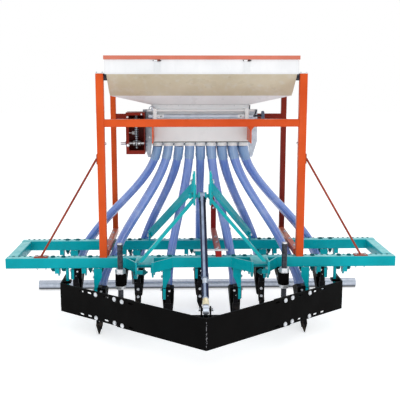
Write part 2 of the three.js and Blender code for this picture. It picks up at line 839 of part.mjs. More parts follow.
// ---------------------------------------------------------------- metering box
function outlets() {
  const spouts = [];
  for (const y of outletRowY) {
    for (let row = 0; row < rowCount; row += 1) {
      const x = rowIndex(row) * outletPitch;
      spouts.push(rod(
        [x, y, outletFace], [x, y, meterBottom + overlap], 2 * outletRadius, 12));
    }
  }
  return spouts;
}

function endPlate() {
  const inner = meterHalfWidth + seat;
  const footOuter = endPlateReach - endPlateFootInset;
  const shape = outline([
    [inner, meterTop - endPlateTopDrop], [endPlateReach, meterTop - endPlateTopDrop],
    [endPlateReach, endPlateBottom + endPlateTaper], [footOuter, endPlateBottom],
    [footOuter - endPlateFootWidth, endPlateBottom], [inner, meterBottom + endPlateInnerRise],
  ]);
  return extrudeY(shape, endPlateY - endPlateThick / 2, endPlateY + endPlateThick / 2);
}

function rodBrackets() {
  return [-1, 1].map((side) => {
    const x = side * rodBracketX;
    return block(
      x - rodBracketWidth / 2, x + rodBracketWidth / 2,
      rodY - rodBracketAhead, meterFront + overlap,
      regulatorZ - rodBracketBelow, indexRodZ + rodBracketAbove);
  });
}

function addMetering() {
  const body = block(-meterHalfWidth, meterHalfWidth, meterFront, meterBack, meterBottom, meterTop);
  const box = join([body, ...outlets(), ...rodBrackets()]);
  const cavity = block(
    meterWall - meterHalfWidth, meterHalfWidth - meterWall,
    meterFront + meterWall, meterBack - meterWall, meterBottom + meterFloor, meterTop + overlap);
  const bearing = rod(
    [-meterHalfWidth - endPlateReach, gearY, feedShaftZ],
    [bearingDepth - meterHalfWidth, gearY, feedShaftZ],
    feedShaftDiameter + 2 * shaftClearance, 20);
  const reach = endPlateReach;
  const rodBore = rod(
    [-reach, rodY, regulatorZ], [reach, rodY, regulatorZ], regulatorDiameter + 2 * seat, 20);
  const hollow = box.subtract(join([cavity, bearing, rodBore]));
  const half = meterHalfWidth + rodOverhang;
  const indexRod = rod([-half, rodY, indexRodZ], [half, rodY, indexRodZ], indexRodDiameter, 14);
  addPiece('metering_box', hollow.add(indexRod), finish.white);
  addPair('end_plate', endPlate(), finish.galvanised);
  addPiece('regulator_rod',
    rod([-half, 0, 0], [half, 0, 0], regulatorDiameter, 20), finish.steel, [0, rodY, regulatorZ]);
}

// ---------------------------------------------------------------- chain drive
function sprocket(teeth) {
  const pitchRadius = chainPitch / 2 / Math.sin(Math.PI / teeth);
  const shape = new THREE.Shape();
  for (let tooth = 0; tooth < teeth; tooth += 1) {
    const angle = 2 * Math.PI * tooth / teeth;
    const step = 2 * Math.PI / teeth;
    const root = pitchRadius - toothRoot;
    const tip = pitchRadius + toothTip;
    const points = [
      [root, angle - step * toothRootShare], [tip, angle - step * toothTipShare],
      [tip, angle + step * toothTipShare], [root, angle + step * toothRootShare],
    ];
    points.forEach(([radius, at], order) => {
      const a = radius * Math.cos(at);
      const b = radius * Math.sin(at);
      if (tooth === 0 && order === 0) shape.moveTo(a, b);
      else shape.lineTo(a, b);
    });
  }
  return extrudeX(shape, -sprocketThick / 2, sprocketThick / 2);
}

function hub(diameter, length) {
  return rod([-length / 2, 0, 0], [length / 2, 0, 0], diameter, 18);
}

function addChainDrive() {
  const outerX = -housingInner - housingWidth;
  const back = endPlateY - endPlateThick / 2 - seat;
  const shell = block(outerX, -housingInner, housingFront, back, housingBottom, housingTop);
  const cavity = block(
    outerX + housingWall, -housingInner - housingWall,
    housingFront - overlap, back - housingWall,
    housingBottom + housingWall, housingTop - housingWall);
  const feedHole = rod(
    [-sprocketX, gearY, feedShaftZ], [0, gearY, feedShaftZ], feedShaftDiameter + 2 * shaftClearance, 20);
  const driveHole = rod(
    [-2 * sprocketX, gearY, drivePinionZ], [0, gearY, drivePinionZ],
    driveShaftDiameter + 2 * shaftClearance, 20);
  addPiece('gear_housing', shell.subtract(join([cavity, feedHole, driveHole])), finish.brownRed);

  const feedShaft = rod(
    [-feedShaftOutside, 0, 0], [sprocketX - meterHalfWidth + feedShaftInBox, 0, 0],
    feedShaftDiameter, 20);
  addPiece('feed_shaft', join([feedShaft, hub(feedHubDiameter, hubLength), sprocket(feedTeeth)]),
    finish.steel, [-sprocketX, gearY, feedShaftZ]);
  const driveShaft = rod(
    [outerX + sprocketX - driveShaftOutside, 0, 0],
    [sprocketX - housingInner + driveShaftInside, 0, 0], driveShaftDiameter, 18);
  addPiece('drive_shaft',
    join([driveShaft, hub(driveHubDiameter, hubLength), sprocket(drivePinionTeeth)]),
    finish.steel, [-sprocketX, gearY, drivePinionZ]);
}

// ---------------------------------------------------------------- hitch
function hitchEar(x, bottom) {
  const front = frontBarFace - hitchReach;
  const back = frontBarFace - seat;
  return extrudeX(outline([
    [back, barTop], [front + hitchChamfer, barTop], [front, barTop - hitchChamfer],
    [front, bottom + hitchNose], [front + hitchNose, bottom],
    [front + 2 * hitchNose, bottom], [back, barBottom],
  ]), x - earThick / 2, x + earThick / 2);
}

// A plate that runs slantwise in plan from the ear's front edge back to the bar.
function hitchGusset(earX, run) {
  const tip = frontBarFace - hitchReach + hitchGussetSetback;
  const foot = frontBarFace - seat;
  const length = Math.hypot(run, foot - tip);
  const alongBar = Math.sign(run) * hitchGussetThick * length / (foot - tip);
  const alongEar = hitchGussetThick * length / Math.abs(run);
  return extrudeZ(outline([
    [earX, tip], [earX + run, foot], [earX + run - alongBar, foot], [earX, tip + alongEar],
  ]), barBottom, barTop);
}

function addHitch() {
  const coverEdge = frontBarFace - hitchCoverRun;
  const coverLow = barTop - hitchCoverFall;
  const cover = extrudeX(outline([
    [frontBarFace - seat, barTop], [coverEdge, coverLow], [coverEdge, coverLow - hitchCoverThick],
    [frontBarFace - seat, barTop - hitchCoverThick],
  ]), hitchInnerX, hitchOuterX);
  const pinY = frontBarFace - hitchReach + hitchPinSetback;
  const pin = rod(
    [hitchOuterX + hitchPinTail, pinY, hitchPinZ],
    [hitchOuterX - hitchPinLength, pinY, hitchPinZ], hitchPinDiameter, 20);
  const bracket = join([
    hitchEar(hitchOuterX, hitchBottom), hitchEar(hitchInnerX, hitchBottom + hitchInnerRise),
    hitchGusset(hitchOuterX, hitchGussetRun), hitchGusset(hitchInnerX, -hitchInnerGussetRun),
    cover, pin,
  ]);
  addPair('hitch_bracket', bracket, finish.teal);
}

function mastEar(side) {
  const half = mastEarDepth / 2;
  const shape = new THREE.Shape();
  shape.moveTo(mastY - half, mastEarBottom);
  shape.lineTo(mastY + half, mastEarBottom);
  shape.lineTo(mastY + half, mastTop - half);
  shape.absarc(mastY, mastTop - half, half, 0, Math.PI, false);
  const x0 = side * mastX;
  const x1 = side * (mastX + earThick);
  return extrudeX(shape, Math.min(x0, x1), Math.max(x0, x1), 8);
}

function mastLeg(side) {
  const top = [side * (mastX + mastLegInset), mastY, mastEarBottom + mastLegRise];
  const footY = frontBarFace - hitchReach + mastFootSetback;
  const foot = [side * hitchOuterX, footY, barTop - mastFootSink];
  const leg = flatBar(foot, top, [0, 1, 0], mastLegWidth, mastLegThick);
  const belowSeat = block(-beyond, beyond, -beyond, beyond, 0, barTop + seat);
  const insideEar = block(-mastX, mastX, -beyond, beyond, 0, beyond);
  return leg.subtract(belowSeat).subtract(insideEar);
}

function addMast() {
  const half = mastX + earThick + mastPinStandOut;
  const pin = rod([-half, mastY, mastPinZ], [half, mastY, mastPinZ], mastPinDiameter, 20);
  const body = join([mastEar(-1), mastEar(1), mastLeg(-1), mastLeg(1), pin]);
  const hole = rod([-half, mastY, topHoleZ], [half, mastY, topHoleZ], topHoleDiameter, 20);
  addPiece('mast', body.subtract(hole), finish.teal);

  const earFace = mastX + earThick + seat;
  const lug = block(
    braceFootX - braceLugThick / 2, braceFootX + braceLugThick / 2,
    rearBarFront, rearBarBack, barTop + seat, barTop + braceLugHeight);
  const brace = flatBar(
    [earFace - braceLap, mastY - braceLap, braceTopZ],
    [braceFootX, barSpacing, barTop + braceLugHeight / 2 + braceFootRise],
    [0, 0, 1], braceWidth, braceThick);
  const insideEar = block(-earFace, earFace, -beyond, beyond, 0, beyond);
  const pad = block(
    earFace, earFace + bracePadThick, mastY - bracePadAhead, mastY + mastEarDepth,
    braceTopZ - bracePadBelow, braceTopZ + bracePadAbove);
  addPair('mast_brace', join([brace, pad]).subtract(insideEar).add(lug), finish.teal);
}

// ---------------------------------------------------------------- levelling blade
const wingAngle = Math.atan2(bladeEndY - bladeNoseY, bladeHalfWidth);
const wingLength = Math.hypot(bladeEndY - bladeNoseY, bladeHalfWidth);

// A point `along` the right wing's front face and `behind` it, in plan.
function wingPoint(along, behind) {
  return [
    along * Math.cos(wingAngle) - behind * Math.sin(wingAngle),
    bladeNoseY + along * Math.sin(wingAngle) + behind * Math.cos(wingAngle),
  ];
}

// Where the plane `behind` the wing's front face crosses a line of constant x.
function wingAtX(x, behind) {
  const along = (x + behind * Math.sin(wingAngle)) / Math.cos(wingAngle);
  return [x, wingPoint(along, behind)[1]];
}

const lapFront = bladeThick + seat;
const [endX, endY] = wingPoint(wingLength, lapFront);
const guideX = endX - bladeThick - guideRodDiameter / 2 - guideClearance - guideLugWall;

function addBlade() {
  const inner = extrudeZ(outline([
    wingAtX(0, 0), wingPoint(bladeJoint, 0), wingPoint(bladeJoint, bladeThick), wingAtX(0, bladeThick),
  ]), bladeBottom, bladeTop);
  addPair('blade_wing', inner, finish.black);

  const outer = extrudeZ(outline([
    wingPoint(bladeJoint - bladeLap, lapFront), wingPoint(wingLength, lapFront),
    wingPoint(wingLength, lapFront + bladeThick), wingPoint(bladeJoint - bladeLap, lapFront + bladeThick),
  ]), bladeBottom, bladeTop);
  const returnPlate = block(
    endX - bladeThick, endX, endY, endY + returnLength, bladeBottom, bladeTop);
  const eyeRadius = guideRodDiameter / 2 + guideClearance;
  const lugTop = bladeTop - guideLugDrop;
  const lug = block(
    guideX - eyeRadius - guideLugWall, endX - overlap,
    -guideLugDepth / 2, guideLugDepth / 2, lugTop - guideLugThick, lugTop);
  const eye = rod([guideX, 0, bladeBottom], [guideX, 0, bladeTop], 2 * eyeRadius, 20);
  addPair('blade_extension', join([outer, returnPlate, lug]).subtract(eye), finish.black);
}

function addClevis() {
  const back = clevisY + clevisPlateBack;
  const halfPlate = wingHalfWidthAt(back, bladeThick + bladeSeat);
  const nose = bladeNoseY + (bladeThick + bladeSeat) / Math.cos(wingAngle);
  const plateTop = bladeTop - clevisPlateDrop;
  const plate = extrudeZ(outline([
    [0, nose], [halfPlate, back], [-halfPlate, back],
  ]), plateTop - clevisPlateThick, plateTop);
  const ears = [-1, 1].map((side) => {
    const shape = new THREE.Shape();
    shape.moveTo(clevisY - clevisEarRadius, plateTop - clevisEarLap);
    shape.lineTo(clevisY + clevisEarRadius, plateTop - clevisEarLap);
    shape.lineTo(clevisY + clevisEarRadius, clevisZ);
    shape.absarc(clevisY, clevisZ, clevisEarRadius, 0, Math.PI, false);
    const x0 = side * clevisInner;
    const x1 = side * (clevisInner + clevisEarThick);
    return extrudeX(shape, Math.min(x0, x1), Math.max(x0, x1), 6);
  });
  const half = clevisInner + clevisEarThick + clevisPinStandOut;
  const pin = rod([-half, clevisY, clevisZ], [half, clevisY, clevisZ], clevisPinDiameter, 16);
  addPiece('blade_clevis', join([plate, ...ears, pin]), finish.black);
}

// Half the room between the two wings, a given depth behind their front faces.
function wingHalfWidthAt(y, behind) {
  return (y - bladeNoseY - behind / Math.cos(wingAngle)) / Math.tan(wingAngle);
}

// ---------------------------------------------------------------- blade jacks
function addJacks() {
  const left = jackX - jackArmWidth / 2;
  const right = jackX + jackArmWidth / 2;
  const arm = extrudeZ(outline([
    wingAtX(left, bladeThick + bladeSeat), wingAtX(right, bladeThick + bladeSeat),
    [right, jackY + jackArmBehind], [left, jackY + jackArmBehind],
  ]), jackScrewBottom, jackScrewBottom + jackArmHeight);
  const lapStart = bladeJoint - bladeLap - overlap;
  const lapBack = lapFront + bladeThick + bladeSeat;
  const extensionRoom = extrudeZ(outline([
    wingPoint(lapStart, 0), wingPoint(wingLength, 0),
    wingPoint(wingLength, lapBack), wingPoint(lapStart, lapBack),
  ]), bladeBottom, bladeTop);
  const screw = rod(
    [jackX, jackY, jackScrewBottom + jackFootLap], [jackX, jackY, jackScrewTop],
    jackScrewDiameter, 20);
  addPair('jack_screw', join([arm.subtract(extensionRoom), screw]), finish.steel);

  const sleeve = rod(
    [jackX, jackY, jackSleeveBottom], [jackX, jackY, jackSleeveTop], jackSleeveDiameter, 24);
  const topNut = rod(
    [jackX, jackY, jackSleeveTop - overlap], [jackX, jackY, jackSleeveTop + jackTopNutHeight],
    jackNutDiameter, 6);
  const lowNut = rod(
    [jackX, jackY, jackSleeveBottom - jackLowNutHeight], [jackX, jackY, jackSleeveBottom + overlap],
    jackNutDiameter, 6);
  const bracketX = jackX - jackSleeveDiameter / 2;
  const half = jackBracketThick / 2;
  const web = block(
    bracketX - half, bracketX + half, jackY - jackBracketAhead, frontBarBack,
    jackSleeveBottom + jackBracketRise, barBottom - seat);
  const flange = block(
    bracketX - jackBracketHalfWidth, jackX + jackBracketHalfWidth, frontBarFace, frontBarBack,
    barBottom - seat - jackBracketThick, barBottom - seat);
  const bracket = web.add(flange);
  const bore = rod(
    [jackX, jackY, 0], [jackX, jackY, jackScrewTop], jackScrewDiameter + 2 * shaftClearance, 20);
  addPair('jack_sleeve', join([sleeve, topNut, lowNut, bracket]).subtract(bore), finish.black);
}

// ---------------------------------------------------------------- centre link
// Both halves hang straight down from the mast pin in their own group, which is then turned
// until the rod's eye is at the blade's clevis.
function addCentreLink() {
  const reach = Math.hypot(clevisY - mastY, clevisZ - mastPinZ);
  const swing = Math.atan2(clevisY - mastY, mastPinZ - clevisZ);
  const eye = hub(2 * linkEyeRadius, linkEyeWidth);
  const barrelTube = rod(
    [0, 0, barrelLap - linkEyeRadius], [0, 0, -barrelLength], linkDiameter, 20);
  const pinHole = hub(mastPinDiameter + 2 * shaftClearance, linkEyeWidth + 2 * overlap);
  const bore = rod(
    [0, 0, barrelBoreDepth - barrelLength], [0, 0, -barrelLength - overlap],
    linkRodDiameter + 2 * shaftClearance, 20);
  const barrel = join([eye, barrelTube]).subtract(join([pinHole, bore]));

  const rodShaft = rod(
    [0, 0, rodInBarrel - barrelLength], [0, 0, eyeLap - reach], linkRodDiameter, 20);
  const rodEye = rod(
    [-rodEyeWidth / 2, 0, -reach], [rodEyeWidth / 2, 0, -reach], rodEyeDiameter, 20);
  const eyeHole = rod(
    [-rodEyeWidth, 0, -reach], [rodEyeWidth, 0, -reach],
    clevisPinDiameter + 2 * openPivotClearance, 20);
  const linkRod = join([rodShaft, rodEye]).subtract(eyeHole);

  const link = new THREE.Group();
  link.position.set(0, mastY, mastPinZ);
  link.rotation.x = swing;
  machine.add(link);
  addPiece('link_barrel', barrel, finish.galvanised, [0, 0, 0], link);
  addPiece('link_rod', linkRod, finish.steel, [0, 0, 0], link);
}

// ---------------------------------------------------------------- drag pipe
function addDragPipe() {
  const half = frameWidth / 2 - pipeInset;
  const parts = [rod([-half, pipeY, pipeZ], [half, pipeY, pipeZ], pipeDiameter, 24)];
  for (const x of [-pipeArmX, pipeArmX]) {
    parts.push(flatBar(
      [x, pipePivotY, pipePivotZ], [x, pipeY, pipeZ], [0, 1, 1], pipeArmWidth, pipeArmThick));
    parts.push(rod(
      [x - pipeArmThick / 2, pipePivotY, pipePivotZ], [x + pipeArmThick / 2, pipePivotY, pipePivotZ],
      pipeArmWidth, 20));
  }
  const inside = rod(
    [-half - overlap, pipeY, pipeZ], [half + overlap, pipeY, pipeZ],
    pipeDiameter - 2 * pipeWall, 24);
  const pivot = rod(
    [-half, pipePivotY, pipePivotZ], [half, pipePivotY, pipePivotZ],
    pipePivotDiameter + 2 * shaftClearance, 16);
  addPiece('drag_pipe', join(parts).subtract(join([inside, pivot])), finish.galvanised);
}

addToolbar();
addTynes();
addHoses();
addPosts();
addCrossRails();
addCentreStand();
addSideStays();
addHopper();
addLid();
addMetering();
addChainDrive();
addHitch();
addMast();
addBlade();
addClevis();
addJacks();
addCentreLink();
addDragPipe();

const seedDrill = new THREE.Group();
seedDrill.name = 'seed_drill';
seedDrill.add(machine);

export default seedDrill;
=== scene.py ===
"""A nine-row tractor-mounted seed drill: its looks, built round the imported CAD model.

The shapes below are written in millimetres about the front toolbar's centre line, with the
ground at z = 0, as the drill is dimensioned. put() turns them into metres in the model's frame.
"""

from math import asin, atan2, cos, hypot, pi, radians, sin, sqrt, tan

import bmesh
import bpy
from mathutils import Matrix, Vector


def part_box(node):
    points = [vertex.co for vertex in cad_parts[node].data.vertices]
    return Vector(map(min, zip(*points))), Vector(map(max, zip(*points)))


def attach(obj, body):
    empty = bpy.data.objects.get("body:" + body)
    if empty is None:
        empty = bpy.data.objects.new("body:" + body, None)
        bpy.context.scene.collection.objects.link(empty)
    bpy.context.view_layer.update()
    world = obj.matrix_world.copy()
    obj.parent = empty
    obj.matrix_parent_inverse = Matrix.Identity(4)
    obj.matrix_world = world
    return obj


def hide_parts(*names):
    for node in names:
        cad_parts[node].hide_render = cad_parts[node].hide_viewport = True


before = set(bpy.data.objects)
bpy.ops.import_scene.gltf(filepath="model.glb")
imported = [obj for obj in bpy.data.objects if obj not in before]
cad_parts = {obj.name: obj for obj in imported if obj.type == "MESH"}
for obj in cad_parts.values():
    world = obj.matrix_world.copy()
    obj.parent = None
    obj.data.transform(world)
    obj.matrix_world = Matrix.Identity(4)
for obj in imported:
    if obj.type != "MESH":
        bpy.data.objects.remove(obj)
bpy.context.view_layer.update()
scene = bpy.context.scene

# -------- sizes taken from the frame
MM = 0.001


def low(node):
    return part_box(node)[0] / MM


def high(node):
    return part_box(node)[1] / MM


def middle(node, axis):
    return (low(node)[axis] + high(node)[axis]) / 2


SHIFT = middle("left_front_post", 1)
BAR = 70.0
BAR_TOP = high("rear_bar").z
BAR_LOW = BAR_TOP - BAR
HALF_WIDTH = high("front_bar").x
REAR_Y = low("rear_bar").y - SHIFT + BAR / 2
POST_X = middle("right_front_post", 0)
POST_TOP = high("right_front_post").z
REAR_POST_X = middle("right_rear_post", 0)
REAR_POST_Y = middle("right_rear_post", 1) - SHIFT
METER_BACK = high("metering_box").y - SHIFT
METER_FRONT = METER_BACK - 245
METER_X = 335.0
METER_LOW = 1245.0
METER_TOP = high("metering_box").z
OUTLET_FACE = low("metering_box").z
OUTLET_Y = (METER_FRONT + 37, METER_FRONT + 207)
OUTLET_PITCH = 74.0
HOPPER_FRONT = low("hopper").y - SHIFT + 13
HOPPER_BACK = high("hopper").y - SHIFT
HOPPER_X = 615.0
BAND_LOW, SLOPE_LOW, LID_SKIRT = 1703.0, 1563.0, 1794.0
ROWS = range(-4, 5)
ROW_PITCH = 228.6
SIDES = ((-1, "left"), (1, "right"))
UP, DOWN, AHEAD, BACK = (0, 0, 1), (0, 0, -1), (0, -1, 0), (0, 1, 0)

# -------- camera, lights and stage
LENS, SENSOR = 63.6, 36.0
CAMERA_AT = (-145.0, -4603.0, 1676.0)
CAMERA_PITCH, CAMERA_YAW = 80.24, -1.655
SKY, SKY_STRENGTH = (0.97, 0.985, 1.0, 1), 0.9
WHITE_LIGHT = (1, 1, 1, 1)
FLOOR_GREY, FLOOR_HALF, FLOOR_DROP = (0.8, 0.8, 0.8, 1), 30.0, 0.0005
FLOOR_GLOW_SEEN, FLOOR_GLOW = 0.28, 0.22


def add_camera():
    data = bpy.data.cameras.new("camera")
    data.lens, data.sensor_width = LENS, SENSOR
    camera = bpy.data.objects.new("camera", data)
    camera.location = (Vector(CAMERA_AT) + Vector((0, SHIFT, 0))) * MM
    camera.rotation_euler = (radians(CAMERA_PITCH), 0, radians(CAMERA_YAW))
    scene.collection.objects.link(camera)
    scene.camera = camera


def add_area_light(name, place, aim, size, power):
    data = bpy.data.lights.new(name, "AREA")
    data.shape, data.size, data.energy = "DISK", size, power
    lamp = bpy.data.objects.new(name, data)
    lamp.location = place
    lamp.rotation_euler = (Vector(aim) - Vector(place)).to_track_quat("-Z", "Y").to_euler()
    scene.collection.objects.link(lamp)


def feed(tree, value, socket):
    """Links an output to the socket, or sets the socket's constant."""
    if isinstance(value, bpy.types.NodeSocket):
        tree.links.new(value, socket)
    else:
        socket.default_value = value


def add_node(tree, kind, *fed, **named):
    """A shader node: its first sockets are fed in order, and others by name."""
    node = tree.nodes.new("ShaderNode" + kind)
    for key, value in (*enumerate(fed), *named.items()):
        feed(tree, value, node.inputs[key])
    return node


def seen_directly(tree):
    """1 where a camera, glossy or transmission ray looks, and 0 for light that is bounced."""
    path = add_node(tree, "LightPath")
    total = path.outputs["Is Camera Ray"]
    for ray in ("Is Glossy Ray", "Is Transmission Ray"):
        add = add_node(tree, "Math", total, path.outputs[ray])
        add.operation, add.use_clamp = "ADD", True
        total = add.outputs[0]
    return total


def empty_tree(owner):
    owner.use_nodes = True
    owner.node_tree.nodes.clear()
    return owner.node_tree


def add_world():
    world = bpy.data.worlds.new("soft_studio")
    tree = empty_tree(world)
    lights = [add_node(tree, "Background", Color=colour, Strength=strength).outputs[0]
              for colour, strength in ((SKY, SKY_STRENGTH), (WHITE_LIGHT, 1.0))]
    mix = add_node(tree, "MixShader", seen_directly(tree), *lights)
    add_node(tree, "OutputWorld", mix.outputs[0])
    scene.world = world


def add_floor():
    mesh = bpy.data.meshes.new("floor")
    corners = [(x * FLOOR_HALF, y * FLOOR_HALF, -FLOOR_DROP) for x, y in ((-1, -1), (1, -1), (1, 1), (-1, 1))]
    mesh.from_pydata(corners, [], [(0, 1, 2, 3)])
    floor = bpy.data.objects.new("floor", mesh)
    scene.collection.objects.link(floor)
    material = bpy.data.materials.new("floor")
    tree = empty_tree(material)
    glow = add_node(tree, "Math", seen_directly(tree), FLOOR_GLOW_SEEN, FLOOR_GLOW)
    glow.operation = "MULTIPLY_ADD"
    matt = add_node(tree, "BsdfDiffuse", Color=FLOOR_GREY)
    lift = add_node(tree, "Emission", Color=WHITE_LIGHT, Strength=glow.outputs[0])
    both = add_node(tree, "AddShader", matt.outputs[0], lift.outputs[0])
    add_node(tree, "OutputMaterial", both.outputs[0])
    mesh.materials.append(material)


scene.view_settings.view_transform = "Standard"
add_camera()
add_world()
add_area_light("key", (-2.0, -6.2, 3.4), (0, 0, 0.8), 4.0, 20)
add_area_light("fill", (0.5, -5.0, 0.2), (0, 0, 1.3), 3.0, 45)
add_area_light("top", (1.0, 0.5, 6.5), (0, 0, 0.6), 4.0, 50)
add_floor()

# -------- materials


class Shader:
    """One procedural material, built node by node in the object's own space."""

    def __init__(self, name, space="Object"):
        self.material = bpy.data.materials.new(name)
        self.tree = empty_tree(self.material)
        self.surface = self.add("BsdfPrincipled")
        self.add("OutputMaterial", self.surface.outputs[0])
        self.place = self.coordinates(space)

    def add(self, kind, *fed, **named):
        return add_node(self.tree, kind, *fed, **named)

    def coordinates(self, space):
        return self.add("TexCoord").outputs[space]

    def stretched(self, scale):
        return self.add("Mapping", self.place, Scale=scale).outputs[0]

    def noise(self, scale, detail=3.0, roughness=0.55, where=None):
        return self.add("TexNoise", where or self.place, Scale=scale, Detail=detail,
                        Roughness=roughness).outputs["Fac"]

    def cells(self, scale):
        return self.add("TexVoronoi", self.place, Scale=scale).outputs["Color"]

    def span(self, value, lo, hi, to_lo=0.0, to_hi=1.0):
        return self.add("MapRange", value, lo, hi, to_lo, to_hi).outputs[0]

    def times(self, a, b, operation="MULTIPLY"):
        node = self.add("Math", a, b)
        node.operation, node.use_clamp = operation, True
        return node.outputs[0]

    def blend(self, share, a, b):
        node = self.add("Mix")
        node.data_type = "RGBA"
        for key, value in (("Factor", share), ("A", a), ("B", b)):
            feed(self.tree, value, node.inputs[key])
        return node.outputs["Result"]

    def axis(self, which, where=None):
        return self.add("SeparateXYZ", where or self.place).outputs[which]

    def facing(self, which):
        return self.axis(which, self.coordinates("Normal"))

    def edges(self, radius):
        """High on worn edges, and 0 on flat faces."""
        bevel = self.add("Bevel", Radius=radius)
        bevel.samples = 3
        flat = self.add("NewGeometry").outputs["Normal"]
        dot = self.add("VectorMath", bevel.outputs[0], flat)
        dot.operation = "DOT_PRODUCT"
        return self.span(dot.outputs["Value"], 0.985, 0.86)

    def bump(self, height, strength, distance):
        node = self.add("Bump", Strength=strength, Distance=distance, Height=height)
        feed(self.tree, node.outputs[0], self.surface.inputs["Normal"])

    def set(self, **values):
        for name, value in values.items():
            feed(self.tree, value, self.surface.inputs[name.replace("_", " ")])
        return self.material


def linear(code):
    """A colour written as six hexadecimal digits, as the shader wants it."""
    parts = [int(code[i:i + 2], 16) / 255 for i in (0, 2, 4)]
    return tuple(((c + 0.055) / 1.055) ** 2.4 if c > 0.04045 else c / 12.92 for c in parts) + (1.0,)


def enamel(name, main, shade, worn, roughness=0.3, wear=0.5, base=None, shine=0.1, top="cfc8ba",
           top_sheen_and_dust=0.16, painted_highlight=None):
    """Sprayed paint: slow drifts of tone, orange peel, rubbed edges, and top faces blended towards the top
    colour, which is painted sheen where that colour is paler and dust with the default grey-beige.
    """
    s = Shader(name)
    drift = s.span(s.noise(3.1, 4.0), 0.32, 0.68)
    tone = s.blend(drift, linear(shade), linear(main)) if base is None else base(s, drift)
    streak = s.noise(1.0, 4.0, 0.6, s.stretched((26.0, 26.0, 3.5)))
    tone = s.blend(s.span(streak, 0.5, 0.8, 0.0, 0.35), tone, linear(shade))
    chips = s.times(s.edges(0.0022), s.span(s.noise(95.0, 5.0, 0.7), 0.44, 0.6, 0.0, wear))
    specks = s.span(s.noise(420.0, 2.0), 0.73, 0.77, 0.0, 0.5 * wear)
    tone = s.blend(s.times(chips, specks, "ADD"), tone, linear(worn))
    # Painted sheen: top faces are blended towards the top colour by which way they face; with the default
    # grey-beige top colour it reads as dust.
    patchy = s.span(s.noise(14.0, 5.0), 0.3, 0.7, 0.55, 1.0)
    tone = s.blend(s.times(s.span(s.facing("Z"), 0.75, 1.0, 0.0, top_sheen_and_dust), patchy), tone, linear(top))
    # Painted highlight: a pale stripe on faces whose normal has little sideways part, leaning left, where
    # light would glint.
    if painted_highlight:
        side = s.facing("X")
        band = s.times(s.span(side, -0.6, -0.4), s.span(side, 0.3, 0.05))
        tone = s.blend(s.times(band, s.span(streak, 0.2, 0.6, 0.5, 0.95)), tone, linear(painted_highlight))
    s.bump(s.noise(520.0, 2.0), 0.14, 0.0006)
    rough = s.span(s.noise(8.0, 5.0), 0.3, 0.7, roughness - 0.07, roughness + 0.12)
    return s.set(Base_Color=tone, Roughness=rough, Specular_IOR_Level=shine)


def plated(name, main, shade, roughness=0.28, spangle=0.0, stretch=(1, 1, 1), scale=60.0, metallic=1.0,
           under=None):
    """Bare or zinc-plated steel, with handling marks, crystal spangle if it is galvanised, and painted shade
    on faces turned downwards if an under colour is given.
    """
    s = Shader(name)
    marks = s.noise(scale, 6.0, 0.65, s.stretched(stretch))
    tone = s.blend(s.span(marks, 0.3, 0.7), linear(shade), linear(main))
    if spangle:
        tone = s.blend(s.times(s.axis("X", s.cells(42.0)), spangle), tone, linear(shade))
    grime = s.span(s.noise(11.0, 5.0, 0.6), 0.55, 0.8, 0.0, 0.3)
    tone = s.blend(grime, tone, linear("4d4a47"))
    # Painted shade: faces turned downwards are darkened towards the under colour.
    if under:
        tone = s.blend(s.span(s.facing("Z"), -0.75, -0.15, 0.97, 0.0), tone, linear(under))
    s.bump(marks, 0.1, 0.0006)
    rough = s.span(s.noise(23.0, 4.0), 0.3, 0.7, roughness - 0.06, roughness + 0.14)
    return s.set(Base_Color=tone, Roughness=rough, Metallic=metallic)


def hose_plastic(name, main, light, dark):
    """Clear blue tube: streaks of tone along its length, pale painted highlight lines along it, and a thick,
    glossy wall.
    """
    s = Shader(name, "UV")
    streaks = s.noise(1.0, 3.0, 0.5, s.stretched((9.0, 0.35, 1.0)))
    tone = s.blend(s.span(streaks, 0.34, 0.66), linear(dark), linear(main))
    # Painted highlights: thin pale lines along the tube stand in for its glints and see-through edges.
    painted_highlight_lines = s.noise(1.0, 2.0, 0.4, s.stretched((26.0, 0.2, 1.0)))
    tone = s.blend(s.span(painted_highlight_lines, 0.6, 0.74, 0.0, 0.8), tone, linear(light))
    cloud = s.noise(1.0, 3.0, 0.5, s.stretched((1.5, 2.2, 1.0)))
    tone = s.blend(s.span(cloud, 0.5, 0.75, 0.0, 0.35), tone, linear(light))
    s.bump(streaks, 0.12, 0.001)
    rough = s.span(cloud, 0.3, 0.7, 0.12, 0.24)
    return s.set(Base_Color=tone, Roughness=rough, Coat_Weight=0.5, Coat_Roughness=0.06,
                 Transmission_Weight=0.12, IOR=1.45)


def hopper_base(s, drift):
    """White sheet, with the sloped front and back panels tinted beige as painted shade and a painted
    reflection of the brown ground.
    """
    white = s.blend(drift, linear("e9eaec"), linear("f6f6f7"))
    # Painted shade and reflected ground: the down-facing slopes get a beige tone.
    slope_shade_and_ground_reflection = s.blend(drift, linear("c6b99c"), linear("d9cfb6"))
    height = s.axis("Z")
    soft = 0.4
    band = s.times(s.span(height, (SLOPE_LOW - soft / 2) * MM, (SLOPE_LOW + 1.5 * soft) * MM),
                   s.span(height, (BAND_LOW + soft / 2) * MM, (BAND_LOW - soft) * MM))
    return s.blend(band, white, slope_shade_and_ground_reflection)


def lid_base(s, drift):
    """Orange lid, with everything under its skirt, the hinge knuckles too, painted dark grey as the shade
    under the lid's edge.
    """
    paint = s.blend(drift, linear("cb725b"), linear("da806b"))
    # Painted shade: the lid is dark grey below the skirt.
    above = s.span(s.axis("Z"), (LID_SKIRT - 0.2) * MM, (LID_SKIRT + 0.2) * MM)
    return s.blend(above, linear("3a3436"), paint)


def soiled_base(main, shade, soil, top):
    """Paint with soil thrown on the part nearest the ground."""
    def build(s, drift):
        paint = s.blend(drift, linear(shade), linear(main))
        near = s.span(s.axis("Z"), top, 0.0, 0.0, 0.6)
        patches = s.span(s.noise(38.0, 6.0, 0.7), 0.48, 0.62)
        return s.blend(s.times(near, patches), paint, linear(soil))
    return build
